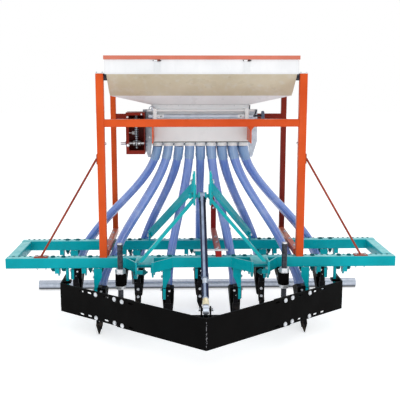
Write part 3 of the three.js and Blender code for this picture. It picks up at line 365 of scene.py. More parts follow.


# Each top colour below is a paler copy of its paint: painted sheen on the top faces.
TEAL = enamel("teal_enamel", "01b0bb", "019ba6", "a9cfcd", top="b4f4f4", top_sheen_and_dust=0.6)
TEAL_DARK = enamel("teal_enamel_fixings", "04727a", "034d55", "5f8583", 0.45, top="3f9a9c", top_sheen_and_dust=0.4)
TEAL_BRIGHT = enamel("teal_enamel_fresh", "14b9be", "08a4ab", "c9efec", top="b4f4f4", top_sheen_and_dust=0.5)
ORANGE = enamel("orange_enamel", "e05a24", "cb4917", "f0b08f", top="ee9a7c", top_sheen_and_dust=0.5)
LID = enamel("lid_enamel", "da806b", "cb725b", "f0b9a4", 0.3, 0.5, lid_base, top="e8a48c", top_sheen_and_dust=0.5)
# A darker copy of the orange paint: painted shade, for the right rear post and the hinge knuckles under the
# lid.
SHADED = enamel("orange_enamel_painted_shade", "8e2c1c", "701c12", "b3705c", top="c27a63", top_sheen_and_dust=0.4)
RAIL = enamel("rail_enamel", "c65f41", "a8452f", "d9a58f", top="cc9078", top_sheen_and_dust=0.6)
CRIMSON = enamel("crimson_enamel", "b8302c", "941f1c", "c98a76", 0.35, top="b47a70", top_sheen_and_dust=0.7)
RED = enamel("red_oxide_enamel", "8a2619", "6c1c12", "b3705c", 0.4, top="b4766a", top_sheen_and_dust=0.6)
STAY_RED = enamel("stay_enamel", "a84a36", "86301f", "c98a76", 0.42)
WHITE = enamel("white_enamel", "ecedee", "e0e2e4", "b9b9b6", 0.3, 0.25, shine=0.3)
# Hopper paint: white, with painted shade and ground reflection on the slopes.
HOPPER = enamel("hopper_enamel", "ecedee", "e0e2e4", "a9a9a6", 0.3, 0.25, hopper_base, shine=0.3)
BLACK = enamel("black_enamel", "060505", "030303", "454343", 0.5, 0.5, shine=0.04, top="3a3937",
               top_sheen_and_dust=0.3)
SOILED = enamel("black_enamel_soiled", "0c0c12", "050508", "6b6d74", 0.42, 0.8,
                soiled_base("0c0c12", "050508", "5d5348", 0.2), shine=0.08)
# The navy link carries a painted highlight stripe.
NAVY = enamel("navy_enamel", "101d42", "050a1c", "8794b0", 0.2, 0.4, shine=0.12, painted_highlight="a3b3cd")
GREY = enamel("grey_enamel", "6f7b92", "4a5468", "a7afbd", 0.3)
ZINC = plated("zinc_plate", "eceef1", "c3c8ce", 0.32, metallic=0.75)
STEEL = plated("turned_steel", "c6ced9", "b2bcca", 0.34, stretch=(2.0, 30.0, 30.0), scale=5.0, metallic=0.8)
THREAD = plated("oiled_thread", "63646c", "33343a", 0.4)
DARK_STEEL = plated("dark_steel", "47474d", "1d1d21", 0.42)
SPATTER = plated("weld_steel", "9c9ca0", "66666a", 0.4)
GALVANISED = plated("galvanised", "c3c9d2", "a3abb6", 0.42, 0.35, metallic=0.7)
# The pipe's dark underside is painted shade.
PIPE_ZINC = plated("galvanised_pipe", "c7cdd8", "a9b1bf", 0.36, 0.3, metallic=0.8, under="14151a")
HOSE = hose_plastic("hose_blue", "88a7ec", "d5e3ff", "5e7ed0")
HOSE_REAR = hose_plastic("hose_blue_rear", "95adec", "dbe6ff", "768fd6")
SLEEVE = hose_plastic("sleeve_blue", "93b3dc", "d3e4f8", "769bcb")
RUBBER = enamel("rubber", "23302c", "151d1a", "3b4441", 0.6, 0.2)
BRASS = plated("passivated_steel", "ece6cf", "c9be97", 0.3, metallic=0.8)

SLOTS = {
    "teal_paint": (TEAL, TEAL_DARK, TEAL_BRIGHT),
    "orange_paint": (ORANGE, SHADED, RAIL, LID, STAY_RED),
    "brown_red_paint": (RED, CRIMSON),
    "white_paint": (WHITE, HOPPER),
    "black_paint": (BLACK, SOILED, RUBBER),
    "grey_paint": (NAVY, GREY),
    "bright_steel": (ZINC, STEEL, THREAD, DARK_STEEL, SPATTER, BRASS),
    "galvanised": (GALVANISED, PIPE_ZINC),
    "hose": (HOSE, HOSE_REAR, SLEEVE),
}
SLOT_OF = {material: slot for slot, materials in SLOTS.items() for material in materials}

# -------- shaping
SHARP = radians(34)
WELD_RIPPLE = 4.5


def unit(vector):
    return Vector(vector).normalized()


def across(axis):
    """Two directions at right angles to the axis and to each other."""
    axis = unit(axis)
    guide = Vector((0, 0, 1)) if abs(axis.z) < 0.9 else Vector((1, 0, 0))
    first = guide.cross(axis).normalized()
    return first, axis.cross(first)


def ring(centre, axis, radius, sides, turn=0.0):
    first, second = across(axis)
    centre = Vector(centre)
    return [centre + radius * (cos(a) * first + sin(a) * second)
            for a in (turn + 2 * pi * i / sides for i in range(sides))]


class Form:
    """Solids gathered in one mesh."""

    def __init__(self):
        self.bm = bmesh.new()
        self.uv = None

    def loft(self, rings, hollow=False, uv_length=None):
        """Skin through rings of equal count; ends are capped, or joined where it is hollow."""
        rows = [[self.bm.verts.new(p) for p in points] for points in rings]
        count = len(rows[0])
        if uv_length and self.uv is None:
            self.uv = self.bm.loops.layers.uv.new("UVMap")
        if hollow:
            rows.append(rows[0])
        for r in range(len(rows) - 1):
            for i in range(count):
                j = (i + 1) % count
                face = self.bm.faces.new((rows[r][i], rows[r][j], rows[r + 1][j], rows[r + 1][i]))
                if uv_length:
                    corners = ((i, r), (i + 1, r), (i + 1, r + 1), (i, r + 1))
                    for loop, (u, v) in zip(face.loops, corners):
                        loop[self.uv].uv = (u / count, uv_length * v / (len(rows) - 1))
        if not hollow:
            self.bm.faces.new(list(reversed(rows[0])))
            self.bm.faces.new(rows[-1])
        return self

    def turned(self, base, axis, profile, sides=24, hollow=False, turn=0.0):
        """A profile of (distance along, radius) turned about the axis."""
        base, along = Vector(base), unit(axis)
        return self.loft([ring(base + along * d, axis, r, sides, turn) for d, r in profile], hollow)

    def bar(self, a, b, radius, sides=24, edge=1.0, bore=0.0):
        """A round bar, or a tube with that bore, with eased ends."""
        a, b = Vector(a), Vector(b)
        length = (b - a).length
        profile = [(0, radius - edge), (edge, radius), (length - edge, radius), (length, radius - edge)]
        if bore:
            profile += [(length, bore), (0, bore)]
        return self.turned(a, b - a, profile, sides, bore > 0)

    def washer(self, base, axis, radius, thick, bore=0.0, sides=20):
        profile = [(0, radius), (thick * 0.7, radius), (thick, radius * 0.95)]
        if bore:
            profile += [(thick, bore), (0, bore)]
        return self.turned(base, axis, profile, sides, bore > 0)

    def hexagon(self, base, axis, flats, height, turn=0.0, crown=0.12):
        r = flats / sqrt(3)
        return self.turned(base, axis, [
            (0, r * 0.95), (height * 0.08, r), (height * (1 - crown), r), (height, r * 0.87),
        ], 6, False, turn)

    def bolt(self, base, axis, flats, turn=0.0, tail=0.0, tall=0.6):
        """A washer and a hexagon head; with a tail it is a nut with its stud's end."""
        base, along = Vector(base), unit(axis)
        thick = flats * 0.12
        self.washer(base, axis, flats * 0.66, thick)
        self.hexagon(base + along * thick, axis, flats, flats * tall, turn)
        if tail:
            top = base + along * (thick + flats * (tall - 0.02))
            grooves = [(0, flats * 0.27)]
            step = flats * 0.09
            while grooves[-1][0] + step < tail:
                d = grooves[-1][0]
                grooves += [(d + step / 2, flats * 0.3), (d + step, flats * 0.27)]
            self.turned(top, axis, grooves + [(tail, flats * 0.2)], 12)
        else:
            self.turned(base + along * (thick + flats * (tall - 0.01)), axis,
                        [(0, flats * 0.34), (flats * 0.05, flats * 0.3)], 16)
        return self

    def dome(self, base, axis, radius, height, sides=16):
        steps = [radians(a) for a in (0, 25, 48, 68, 84)]
        return self.turned(base, axis, [(height * sin(a), radius * cos(a)) for a in steps], sides)

    def block(self, *ends):
        """A box between two values of x, of y and of z, given in either order."""
        (x0, x1), (y0, y1), (z0, z1) = (sorted(ends[i:i + 2]) for i in (0, 2, 4))
        return self.loft([[Vector(p) for p in ((x0, y0, z), (x1, y0, z), (x1, y1, z), (x0, y1, z))]
                          for z in (z0, z1)])

    def slab(self, outline, depth):
        """A flat outline, in space, given thickness."""
        return self.loft([[Vector(p) for p in outline], [Vector(p) + Vector(depth) for p in outline]])

    def sheet(self, outline, holes, frame_of, thick):
        """A plate with holes; frame_of(a, b, c) places outline axes a and b and the thickness c."""
        near = bmesh.new()
        for loop in [outline, *holes]:
            verts = [near.verts.new((a, b, 0)) for a, b in loop]
            for i, v in enumerate(verts):
                near.edges.new((v, verts[(i + 1) % len(verts)]))
        bmesh.ops.triangle_fill(near, use_beauty=True, use_dissolve=False, edges=near.edges[:])
        near.verts.index_update()
        spots = {v.index: v.co.copy() for v in near.verts}
        faces = [[v.index for v in f.verts] for f in near.faces]
        rim = [(e.verts[0].index, e.verts[1].index) for e in near.edges if len(e.link_faces) == 1]
        layers = [{i: self.bm.verts.new(frame_of(p.x, p.y, c)) for i, p in spots.items()}
                  for c in (0, thick)]
        for f in faces:
            self.bm.faces.new([layers[0][i] for i in f])
            self.bm.faces.new([layers[1][i] for i in reversed(f)])
        for a, b in rim:
            self.bm.faces.new((layers[0][a], layers[0][b], layers[1][b], layers[1][a]))
        near.free()
        return self

    def tube(self, points, radius, sides=24, wall=0.0, uv_metres=False):
        """A tube of that outer radius along points; a wall makes it hollow."""
        last = len(points) - 1
        tangents = [unit(points[min(i + 1, last)] - points[max(i - 1, 0)]) for i in range(last + 1)]
        side = across(tangents[0])[0]
        frames = []
        for t in tangents:
            side = (side - t * side.dot(t)).normalized()
            frames.append((side, t.cross(side)))

        def rings(r, order):
            angles = [2 * pi * i / sides for i in range(sides)]
            return [[points[k] + r * (cos(a) * frames[k][0] + sin(a) * frames[k][1])
                     for a in angles] for k in order]

        length = sum((b - a).length for a, b in zip(points, points[1:]))
        uv = length / 100 if uv_metres else None
        order = list(range(last + 1))
        if wall:
            return self.loft(rings(radius, order) + rings(radius - wall, order[::-1]), True, uv)
        return self.loft(rings(radius, order), False, uv)

    def weld(self, a, b, width=7.0):
        """A bead of weld along a line: overlapping ripples, thin at both ends."""
        a, b = Vector(a), Vector(b)
        length = (b - a).length
        count = max(6, int(length / WELD_RIPPLE * 3))
        points = []
        for i in range(count + 1):
            t = i / count
            swell = 0.82 + 0.18 * cos(2 * pi * t * length / WELD_RIPPLE)
            taper = min(1.0, 0.35 + 4 * min(t, 1 - t))
            points.append((a.lerp(b, t), width / 2 * swell * taper))
        return self.loft([ring(p, b - a, r, 8) for p, r in points])

    def thread(self, a, b, radius, depth, pitch, sides=28):
        """A screw with a real helix."""
        a, b = Vector(a), Vector(b)
        along, length = unit(b - a), (b - a).length
        first, second = across(along)
        count = int(length / pitch * 6)
        rings = []
        for k in range(count + 1):
            d = length * k / count
            edge = min(1.0, (min(d, length - d) + 1.0) / 5.0)
            points = []
            for i in range(sides):
                turn = (d / pitch - i / sides) % 1.0
                tooth = min(1.0, max(0.0, 2.6 * abs(turn - 0.5) - 0.25))
                r = radius - depth * tooth - depth * (1 - edge)
                angle = 2 * pi * i / sides
                points.append(a + along * d + r * (cos(angle) * first + sin(angle) * second))
            rings.append(points)
        return self.loft(rings)


def put(name, form, material, body="frame", ease=0.8, replaces=(), place=None):
    """Makes a piece of a form: eases its edges, smooths its rounds and rides it on its body."""
    bm = form.bm
    bmesh.ops.recalc_face_normals(bm, faces=bm.faces[:])
    for f in bm.faces:
        f.smooth = True
    for e in bm.edges:
        e.smooth = len(e.link_faces) == 2 and e.calc_face_angle(pi) < SHARP
    mesh = bpy.data.meshes.new(name)
    bm.to_mesh(mesh)
    bm.free()
    if place is not None:
        mesh.transform(place)
    mesh.transform(Matrix.Translation((0, SHIFT * MM, 0)) @ Matrix.Scale(MM, 4))
    mesh.materials.append(material)
    piece = bpy.data.objects.new(name, mesh)
    scene.collection.objects.link(piece)
    if ease:
        add_bevel(piece, ease * MM)
    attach(piece, body)
    if replaces:
        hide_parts(*replaces)
    return piece


def add_bevel(piece, width):
    bevel = piece.modifiers.new("eased_edges", "BEVEL")
    bevel.width, bevel.segments = width, 2
    bevel.limit_method, bevel.angle_limit = "ANGLE", SHARP
    bevel.harden_normals = True
    bevel.use_clamp_overlap = True


def smoothing_group():
    """Welds a CAD mesh and shades it smooth across shallow angles, without moving a vertex."""
    group = bpy.data.node_groups.new("welded_smooth", "GeometryNodeTree")
    group.interface.new_socket("Geometry", in_out="INPUT", socket_type="NodeSocketGeometry")
    group.interface.new_socket("Geometry", in_out="OUTPUT", socket_type="NodeSocketGeometry")
    kinds = ["NodeGroupInput", "GeometryNodeMergeByDistance", "GeometryNodeRemoveAttribute",
             "GeometryNodeSetShadeSmooth", "GeometryNodeSetShadeSmooth", "NodeGroupOutput"]
    source, merge, bare, faces, edges, out = [group.nodes.new(k) for k in kinds]
    merge.inputs["Distance"].default_value = 1e-5
    bare.inputs["Name"].default_value = "custom_normal"
    faces.domain, edges.domain = "FACE", "EDGE"
    angle = group.nodes.new("GeometryNodeInputMeshEdgeAngle")
    sharp = group.nodes.new("FunctionNodeCompare")
    sharp.data_type, sharp.operation = "FLOAT", "GREATER_THAN"
    sharp.inputs["B"].default_value = SHARP
    group.links.new(angle.outputs["Unsigned Angle"], sharp.inputs["A"])
    group.links.new(sharp.outputs[0], edges.inputs["Selection"])
    edges.inputs["Shade Smooth"].default_value = False
    chain = [source, merge, bare, faces, edges, out]
    for a, b in zip(chain, chain[1:]):
        group.links.new(a.outputs[0], b.inputs["Geometry" if "Geometry" in b.inputs else 0])
    return group


def dress_frame():
    """Gives every carried-over CAD node its material and eased, smoothly shaded edges."""
    group = smoothing_group()
    looks = {
        TEAL: ["front_bar", "rear_bar", "left_end_bar", "right_end_bar", "left_hitch_bracket",
               "right_hitch_bracket", "left_mast_brace", "right_mast_brace"],
        TEAL_BRIGHT: ["mast"],
        ORANGE: ["left_front_post", "right_front_post", "left_rear_post", "front_cross_rail"],
        # The right rear post takes the darker orange as painted shade.
        SHADED: ["right_rear_post"],
        RAIL: ["left_base_rail", "right_base_rail"],
        LID: ["hopper_lid"],
        STAY_RED: ["left_side_stay", "right_side_stay"],
        RED: ["rear_cross_rail", "gear_housing"],
        CRIMSON: ["centre_stand"],
        HOPPER: ["hopper"],
        WHITE: ["metering_box"],
        GALVANISED: ["left_end_plate", "right_end_plate"],
        PIPE_ZINC: ["drag_pipe"],
        BLACK: ["blade_clevis"],
        NAVY: ["link_barrel"],
        STEEL: ["regulator_rod", "link_rod"],
        ZINC: ["feed_shaft", "drive_shaft"],
    }
    for material, names in looks.items():
        for name in names:
            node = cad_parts[name]
            node.data.materials.clear()
            node.data.materials.append(material)
            node.modifiers.new("welded_smooth", "NODES").node_group = group
            flat = node.modifiers.new("whole_faces", "DECIMATE")
            flat.decimate_type, flat.angle_limit = "DISSOLVE", radians(1)
            add_bevel(node, 1.2 * MM)


dress_frame()

# -------- hoses
HOSE_R, HOSE_WALL = 28.5, 3.0
HOSE_STEPS = 56
SLEEVE_LOW = 1128.0
BOOT_TILT = radians(22)
BOOT_INLET = (98.0, 272.0, 66.0)
HOSE_SPARE = 25.0
BAR_CLEARANCE, BAR_RISE = 32.0, 305.0
UNDER_RAIL, RAIL_INSET, RAIL_SLOPE = 3, 34.0, -0.45
RAIL_INNER = REAR_POST_X - 20


def tyne_y(index):
    return REAR_Y if index % 2 == 0 else 0.0


def along_knots(knots, z):
    """Cubic stretches between knots of height, position and slope."""
    a, b = next((a, b) for a, b in zip(knots, knots[1:]) if z >= b[0] - 1e-6 or b is knots[-1])
    h = b[0] - a[0]
    u = (z - a[0]) / h
    return (a[1] * (2 * u ** 3 - 3 * u ** 2 + 1) + b[1] * (3 * u ** 2 - 2 * u ** 3)
            + h * (a[2] * (u ** 3 - 2 * u ** 2 + u) + b[2] * (u ** 3 - u ** 2)))


def hose_route(index, inlet):
    """The hose's knots across the rows, and behind the front bar."""
    y, z, step = BOOT_INLET
    along = inlet * step
    top = OUTLET_FACE + HOSE_SPARE
    bottom = z - along * sin(BOOT_TILT) - HOSE_SPARE * cos(BOOT_TILT)
    across = [(top, index * OUTLET_PITCH, 0.0), (bottom, index * ROW_PITCH, 0.0)]
    if abs(index) == UNDER_RAIL:
        side = 1 if index > 0 else -1
        across.insert(1, (BAR_TOP, side * (RAIL_INNER - RAIL_INSET), side * RAIL_SLOPE))
    inlet_y = tyne_y(index) + y + along * cos(BOOT_TILT) - HOSE_SPARE * sin(BOOT_TILT)
    behind = [(top, OUTLET_Y[inlet], 0.0), (bottom, inlet_y, tan(BOOT_TILT))]
    if index % 2 == 0:
        clear = REAR_Y + BAR / 2 + HOSE_R + BAR_CLEARANCE + along * cos(BOOT_TILT)
        behind.insert(1, (z + BAR_RISE, clear, 0.0))
    return across, behind


def hose_point(index, inlet, z):
    across, behind = hose_route(index, inlet)
    return Vector((along_knots(across, z), along_knots(behind, z), z))


def hose_points(index, inlet, start, drop, steps):
    return [hose_point(index, inlet, start + drop * i / steps) for i in range(steps + 1)]


def add_hoses():
    for inlet, (side, material) in enumerate((("front", HOSE), ("rear", HOSE_REAR))):
        for index in ROWS:
            row = index + 5
            start, end = OUTLET_FACE - 6, hose_route(index, inlet)[0][-1][0] + 4
            route = hose_points(index, inlet, start, end - start, HOSE_STEPS)
            hose = Form().tube(route, HOSE_R, 28, HOSE_WALL, True)
            put(f"{side}_hose_{row}_tube", hose, material, ease=0,
                replaces=[] if inlet else [f"front_hose_{row}"])
            points = hose_points(index, inlet, OUTLET_FACE - 0.3, SLEEVE_LOW - OUTLET_FACE, 10)
            put(f"{side}_sleeve_{row}", Form().tube(points, HOSE_R + 3.4, 28, 3.2, True), SLEEVE, ease=0)
            clip = Form()
            for k in (2, 8):
                along = points[k + 1] - points[k]
                clip.turned(points[k], along, [(0, 32.0), (0, 33.0), (7, 33.0), (7, 32.0)], 28, True)
            put(f"{side}_sleeve_bands_{row}", clip, SLEEVE, ease=0)
    strip = Form()
    y = OUTLET_Y[1]
    for edge in (-1, 1):
        strip.block(-327, 327, y + edge * 36 - 3, y + edge * 36 + 3, OUTLET_FACE - 12, OUTLET_FACE - 0.5)
    for end in (-1, 1):
        strip.block(end * 330 - 3, end * 330 + 3, y - 39, y + 39, OUTLET_FACE - 12, OUTLET_FACE - 0.5)
        strip.bolt((end * 333, y, OUTLET_FACE - 6), (end, 0, 0), 9)
    put("rear_hose_strip", strip, GALVANISED, replaces=["rear_hoses"])


add_hoses()

# -------- tynes


def curve2(a, b, c, steps=10):
    """Points of a quadratic curve from a by b to c."""
    spots = []
    for i in range(steps + 1):
        t = i / steps
        shares = ((1 - t) ** 2, 2 * t * (1 - t), t * t)
        spots.append(tuple(sum(k * v for k, v in zip(shares, axis)) for axis in zip(a, b, c)))
    return spots


def leg_form(x, y):
    outline = curve2((-30, 300), (-30, 140), (-78, 26)) + curve2((-52, 16), (30, 110), (30, 300))
    return Form().slab([(x - 15, y + a, b) for a, b in outline], (30, 0, 0))


BOOT_HALF, BOOT_WALL, BOOT_DEPTH, BOOT_TAPER = 39.5, 3.0, 55.0, 0.86


def boot_form(x, y):
    """A folded sheet box, open at the top for its two hoses and narrow at the foot."""
    rim_y, rim_z = 35 * cos(BOOT_TILT), 35 * sin(BOOT_TILT)
    inlet_y, inlet_z, step = BOOT_INLET
    top_front = (inlet_y - rim_y, inlet_z + rim_z)
    top_back = (inlet_y + step * cos(BOOT_TILT) + rim_y, inlet_z - step * sin(BOOT_TILT) - rim_z)
    form = Form()
    points = []
    for side in (-BOOT_HALF, BOOT_HALF):
        points += [(side, *top_front), (side, *top_back), (side, top_front[0], inlet_z - 90)]
        points += [(side * 0.7, -10, 76), (side * 0.7, 52, 76)]
    bm = form.bm
    bmesh.ops.convex_hull(bm, input=[bm.verts.new((x + a, y + b, c)) for a, b, c in points])
    bmesh.ops.delete(bm, geom=[v for v in bm.verts if not v.link_faces], context="VERTS")
    bmesh.ops.dissolve_limit(bm, angle_limit=radians(2), verts=bm.verts[:], edges=bm.edges[:])
    bmesh.ops.recalc_face_normals(bm, faces=bm.faces[:])
    slope = Vector((0, sin(BOOT_TILT), cos(BOOT_TILT)))
    top = max(bm.faces, key=lambda f: f.normal.dot(slope))
    bmesh.ops.inset_region(bm, faces=[top], thickness=BOOT_WALL)
    deep = bmesh.ops.extrude_face_region(bm, geom=[top])
    for v in deep["geom"]:
        if isinstance(v, bmesh.types.BMVert):
            v.co -= slope * BOOT_DEPTH
            v.co.x = x + (v.co.x - x) * BOOT_TAPER
    bmesh.ops.delete(bm, geom=[top], context="FACES_ONLY")
    form.block(x - BOOT_HALF, x + BOOT_HALF, y - 22, y + 63, 212, 286)
    return form


def share_form(x, y):
    """Forged point: a flat strap on the leg's front that narrows and thickens into a toe."""
    rows = [(185, -39, -26, 22.5), (182, -39, -26, 22.5), (120, -47.5, -36, 22.5), (74, -63, -50, 22.5),
            (50, -84, -68, 22.5), (26, -98, -80, 13), (10, -106, -88, 6.5), (0, -112, -96, 3)]
    rings = []
    for z, front, back, half in rows:
        crest = 3.0 if z < 120 else 1.0
        rings.append([Vector((x + a, y + b, z)) for a, b in (
            (-half, back), (-half, front + crest), (-half * 0.45, front), (half * 0.45, front),
            (half, front + crest), (half, back))])
    return Form().loft(rings)


def share_bolts(x, y, spots):
    form = Form()
    for z, front in spots:
        axis = (0, -1, 0.14 if z > 100 else 0.34)
        form.washer((x, y + front + 1.5, z), axis, 10.5, 2.2)
        form.dome((x, y + front - 0.5, z), axis, 8.5, 5.0)
        form.hexagon((x, y + 40 if z < 100 else y + 36, z + 16), BACK, 17, 9)
    return form


SHANK_INNER, SHANK_OUTER = 9.5, 34.5


def add_tynes():
    for index in ROWS:
        row, side = index + 5, 1 if index > 0 else -1
        x, y = index * ROW_PITCH, tyne_y(index)
        x0, x1 = sorted((x + side * SHANK_INNER, x + side * SHANK_OUTER))
        shank = Form().block(x0, x1, y - 30, y + 30, 210, BAR_LOW - 0.3)
        put(f"tyne_{row}_shank", shank, TEAL, ease=2.0, replaces=[f"tyne_{row}"])
        put(f"tyne_{row}_leg", leg_form(x, y), SOILED, ease=1.5)
        put(f"tyne_{row}_boot", boot_form(x, y), BLACK, ease=1.0)
        put(f"tyne_{row}_share", share_form(x, y), SOILED, ease=1.2)
        spots = ((135, -45.4), (82, -60.3)) if index % 2 == 0 else ((82, -60.3),)
        put(f"tyne_{row}_share_bolts", share_bolts(x, y, spots), ZINC, ease=0.3)
        plate = Form()
        a, b = x - side * 20, x + side * SHANK_OUTER
        spots = ((a, BAR_LOW - 0.3), (b, BAR_LOW - 0.3), (b, 330), (x + side * 12, 306), (a, 372))
        plate.slab([(px, y - 30.2, pz) for px, pz in spots], (0, -5, 0))
        put(f"tyne_{row}_clamp_plate", plate, TEAL, ease=0.8)
        fix = Form()
        for z, outer in ((BAR_LOW - 30, 34.6), (BAR_LOW - 72, 34.6), (270, BOOT_HALF)):
            fix.bolt((x + side * outer, y + 8, z), (side, 0, 0), 17)
        for z in (270, 235):
            fix.bolt((x - 9.4 * side if z > 250 else x, y - 22.2, z), AHEAD, 13)
        seams = Form()
        seams.weld((x0 + 3, y - 30, 289), (x1 - 3, y - 30, 289), 6)
        seams.weld((x - 34, y + 66, 212), (x + 34, y + 66, 212), 6)
        for edge in (x - BOOT_HALF + 0.5, x + BOOT_HALF - 0.5):
            seams.weld((edge, y + 65, 216), (edge, y + 65, 284), 5)
        put(f"tyne_{row}_fixings", fix, ZINC, ease=0.3)
        put(f"tyne_{row}_seams", seams, BLACK, ease=0)


def clamp_nuts(form, x, y, tail=True):
    """One clamp bolt: its head on the bar, and under it nuts stacked, to a point if it has a tail."""
    form.bolt((x, y, BAR_TOP), UP, 24, 0.3, tall=0.3)
    form.washer((x, y, BAR_LOW), DOWN, 20, 4)
    form.hexagon((x, y, BAR_LOW - 4), DOWN, 28, 13, 0.2)
    form.hexagon((x, y, BAR_LOW - 17), DOWN, 21, 9, 0.5)
    if tail:
        form.turned((x, y, BAR_LOW - 26), DOWN, [
            (0, 6.4), (1.5, 7), (3, 6.2), (4.5, 7), (6, 6.2), (7.5, 7), (9, 6.2), (12, 4)], 14)


def clamp_tab(form, x, y, side):
    """A folded cheek that hangs under the bar beside a shank, with a rounded nose."""
    nose = [(y - 30, BAR_LOW), (y - 30, BAR_LOW - 38)]
    nose += [(y - 14 - 16 * cos(a), BAR_LOW - 38 - 16 * sin(a))
             for a in (radians(d) for d in (20, 45, 70, 90))]
    nose += [(y + 22, BAR_LOW - 46), (y + 33, BAR_LOW - 26), (y + 33, BAR_LOW)]
    x0 = x if side > 0 else x - 9
    form.slab([(x0, a, b) for a, b in nose], (9, 0, 0))
    form.block(x, x + side * 30, y - 31, y - 24, BAR_LOW - 36, BAR_LOW)


def add_clamps():
    """Each shank is held on its bar by two bolts and a cheek; so are the guide rods, by short bolts."""
    for name, bar_y, parity in (("front", 0.0, 1), ("rear", REAR_Y, 0)):
        bolts, cheeks = Form(), Form()
        for index in (i for i in ROWS if i % 2 == parity):
            x, side = index * ROW_PITCH, 1 if index > 0 else -1
            for offset in (-15, 59):
                clamp_nuts(bolts, x + side * offset, bar_y)
            clamp_tab(cheeks, x + side * 84, bar_y, side)
        if name == "front":
            for side in (-1, 1):
                for x in (923, 992):
                    clamp_nuts(bolts, side * x, bar_y, tail=False)
                clamp_tab(cheeks, side * 948, bar_y, side)
        put(f"{name}_bar_clamp_bolts", bolts, TEAL_DARK, ease=0.4)
        put(f"{name}_bar_clamp_cheeks", cheeks, TEAL, ease=1.0)


PLUG_PITCH, PLUGS = 37.0, 34


def add_bar_details():
    """A row of plugged holes along the top of each long bar, and weld seams at its corners."""
    for name, y in (("front", 0.0), ("rear", REAR_Y)):
        plugs, beads = Form(), Form()
        for i in range(-PLUGS, PLUGS + 1):
            x = i * PLUG_PITCH
            if abs(abs(x) - POST_X) > 45:
                plugs.turned((x, y + 24, BAR_TOP), UP, [(0, 8), (1.6, 8), (2.8, 6.4)], 14)
        for side in (-1, 1):
            x = side * (HALF_WIDTH - BAR / 2)
            inner = 34 if name == "front" else -34
            for z in (BAR_TOP - 1.0, BAR_LOW + 1.0):
                beads.weld((x - 28, y + inner, z), (x + 28, y + inner, z), 7)
            for edge in (x - 34, x + 34):
                beads.weld((edge, y + inner, BAR_LOW + 9), (edge, y + inner, BAR_TOP - 9), 7)
        put(f"{name}_bar_plugs", plugs, TEAL_DARK, ease=0)
        put(f"{name}_bar_welds", beads, TEAL, ease=0)


add_tynes()
add_clamps()
add_bar_details()

# -------- levelling blade
BLADE_LOW, BLADE_TOP = low("right_blade_wing").z, high("right_blade_wing").z
BLADE_THICK = 10.0
NOSE_Y = low("right_blade_wing").y - SHIFT
WING_RISE, WING_RUN = 722.0, 940.0
CLEVIS_Y, CLEVIS_Z, BASE_TOP = NOSE_Y + 73, 382.0, 341.5
WING = atan2(WING_RISE, WING_RUN)
WING_LENGTH = hypot(WING_RISE, WING_RUN)
WING_JOINT, WING_LAP = 680.0, 130.0
LAP_FRONT = BLADE_THICK + 0.3
BOLT_ROWS = (BLADE_LOW + 17, BLADE_TOP - 20)
INNER_BOLTS, OUTER_BOLTS = (634.0,), (706.0, 865.0)
INNER_SLOTS, OUTER_SLOTS = (564.0,), (779.0, 924.0, 993.0)
SLOT_LENGTH, SLOT_WIDTH = 38.0, 13.0
GUIDE_INSET = 34.0


def slot_outline(centre, height):
    half, r = (SLOT_LENGTH - SLOT_WIDTH) / 2, SLOT_WIDTH / 2
    spots = []
    for end, start in ((1, -90), (-1, 90)):
        for k in range(7):
            a = radians(start + 30 * k)
            spots.append((centre + end * half + r * cos(a), height + r * sin(a)))
    return spots


def wing_frame(side, behind):
    """Places distance along a wing, height and depth behind its face, in space."""
    def at(along, z, depth):
        back = behind + depth
        return Vector((side * (along * cos(WING) - back * sin(WING)),
                       NOSE_Y + along * sin(WING) + back * cos(WING), z))
    return at


def blade_outline(start, end):
    return [(start, BLADE_LOW), (end, BLADE_LOW), (end, BLADE_TOP), (start, BLADE_TOP)]


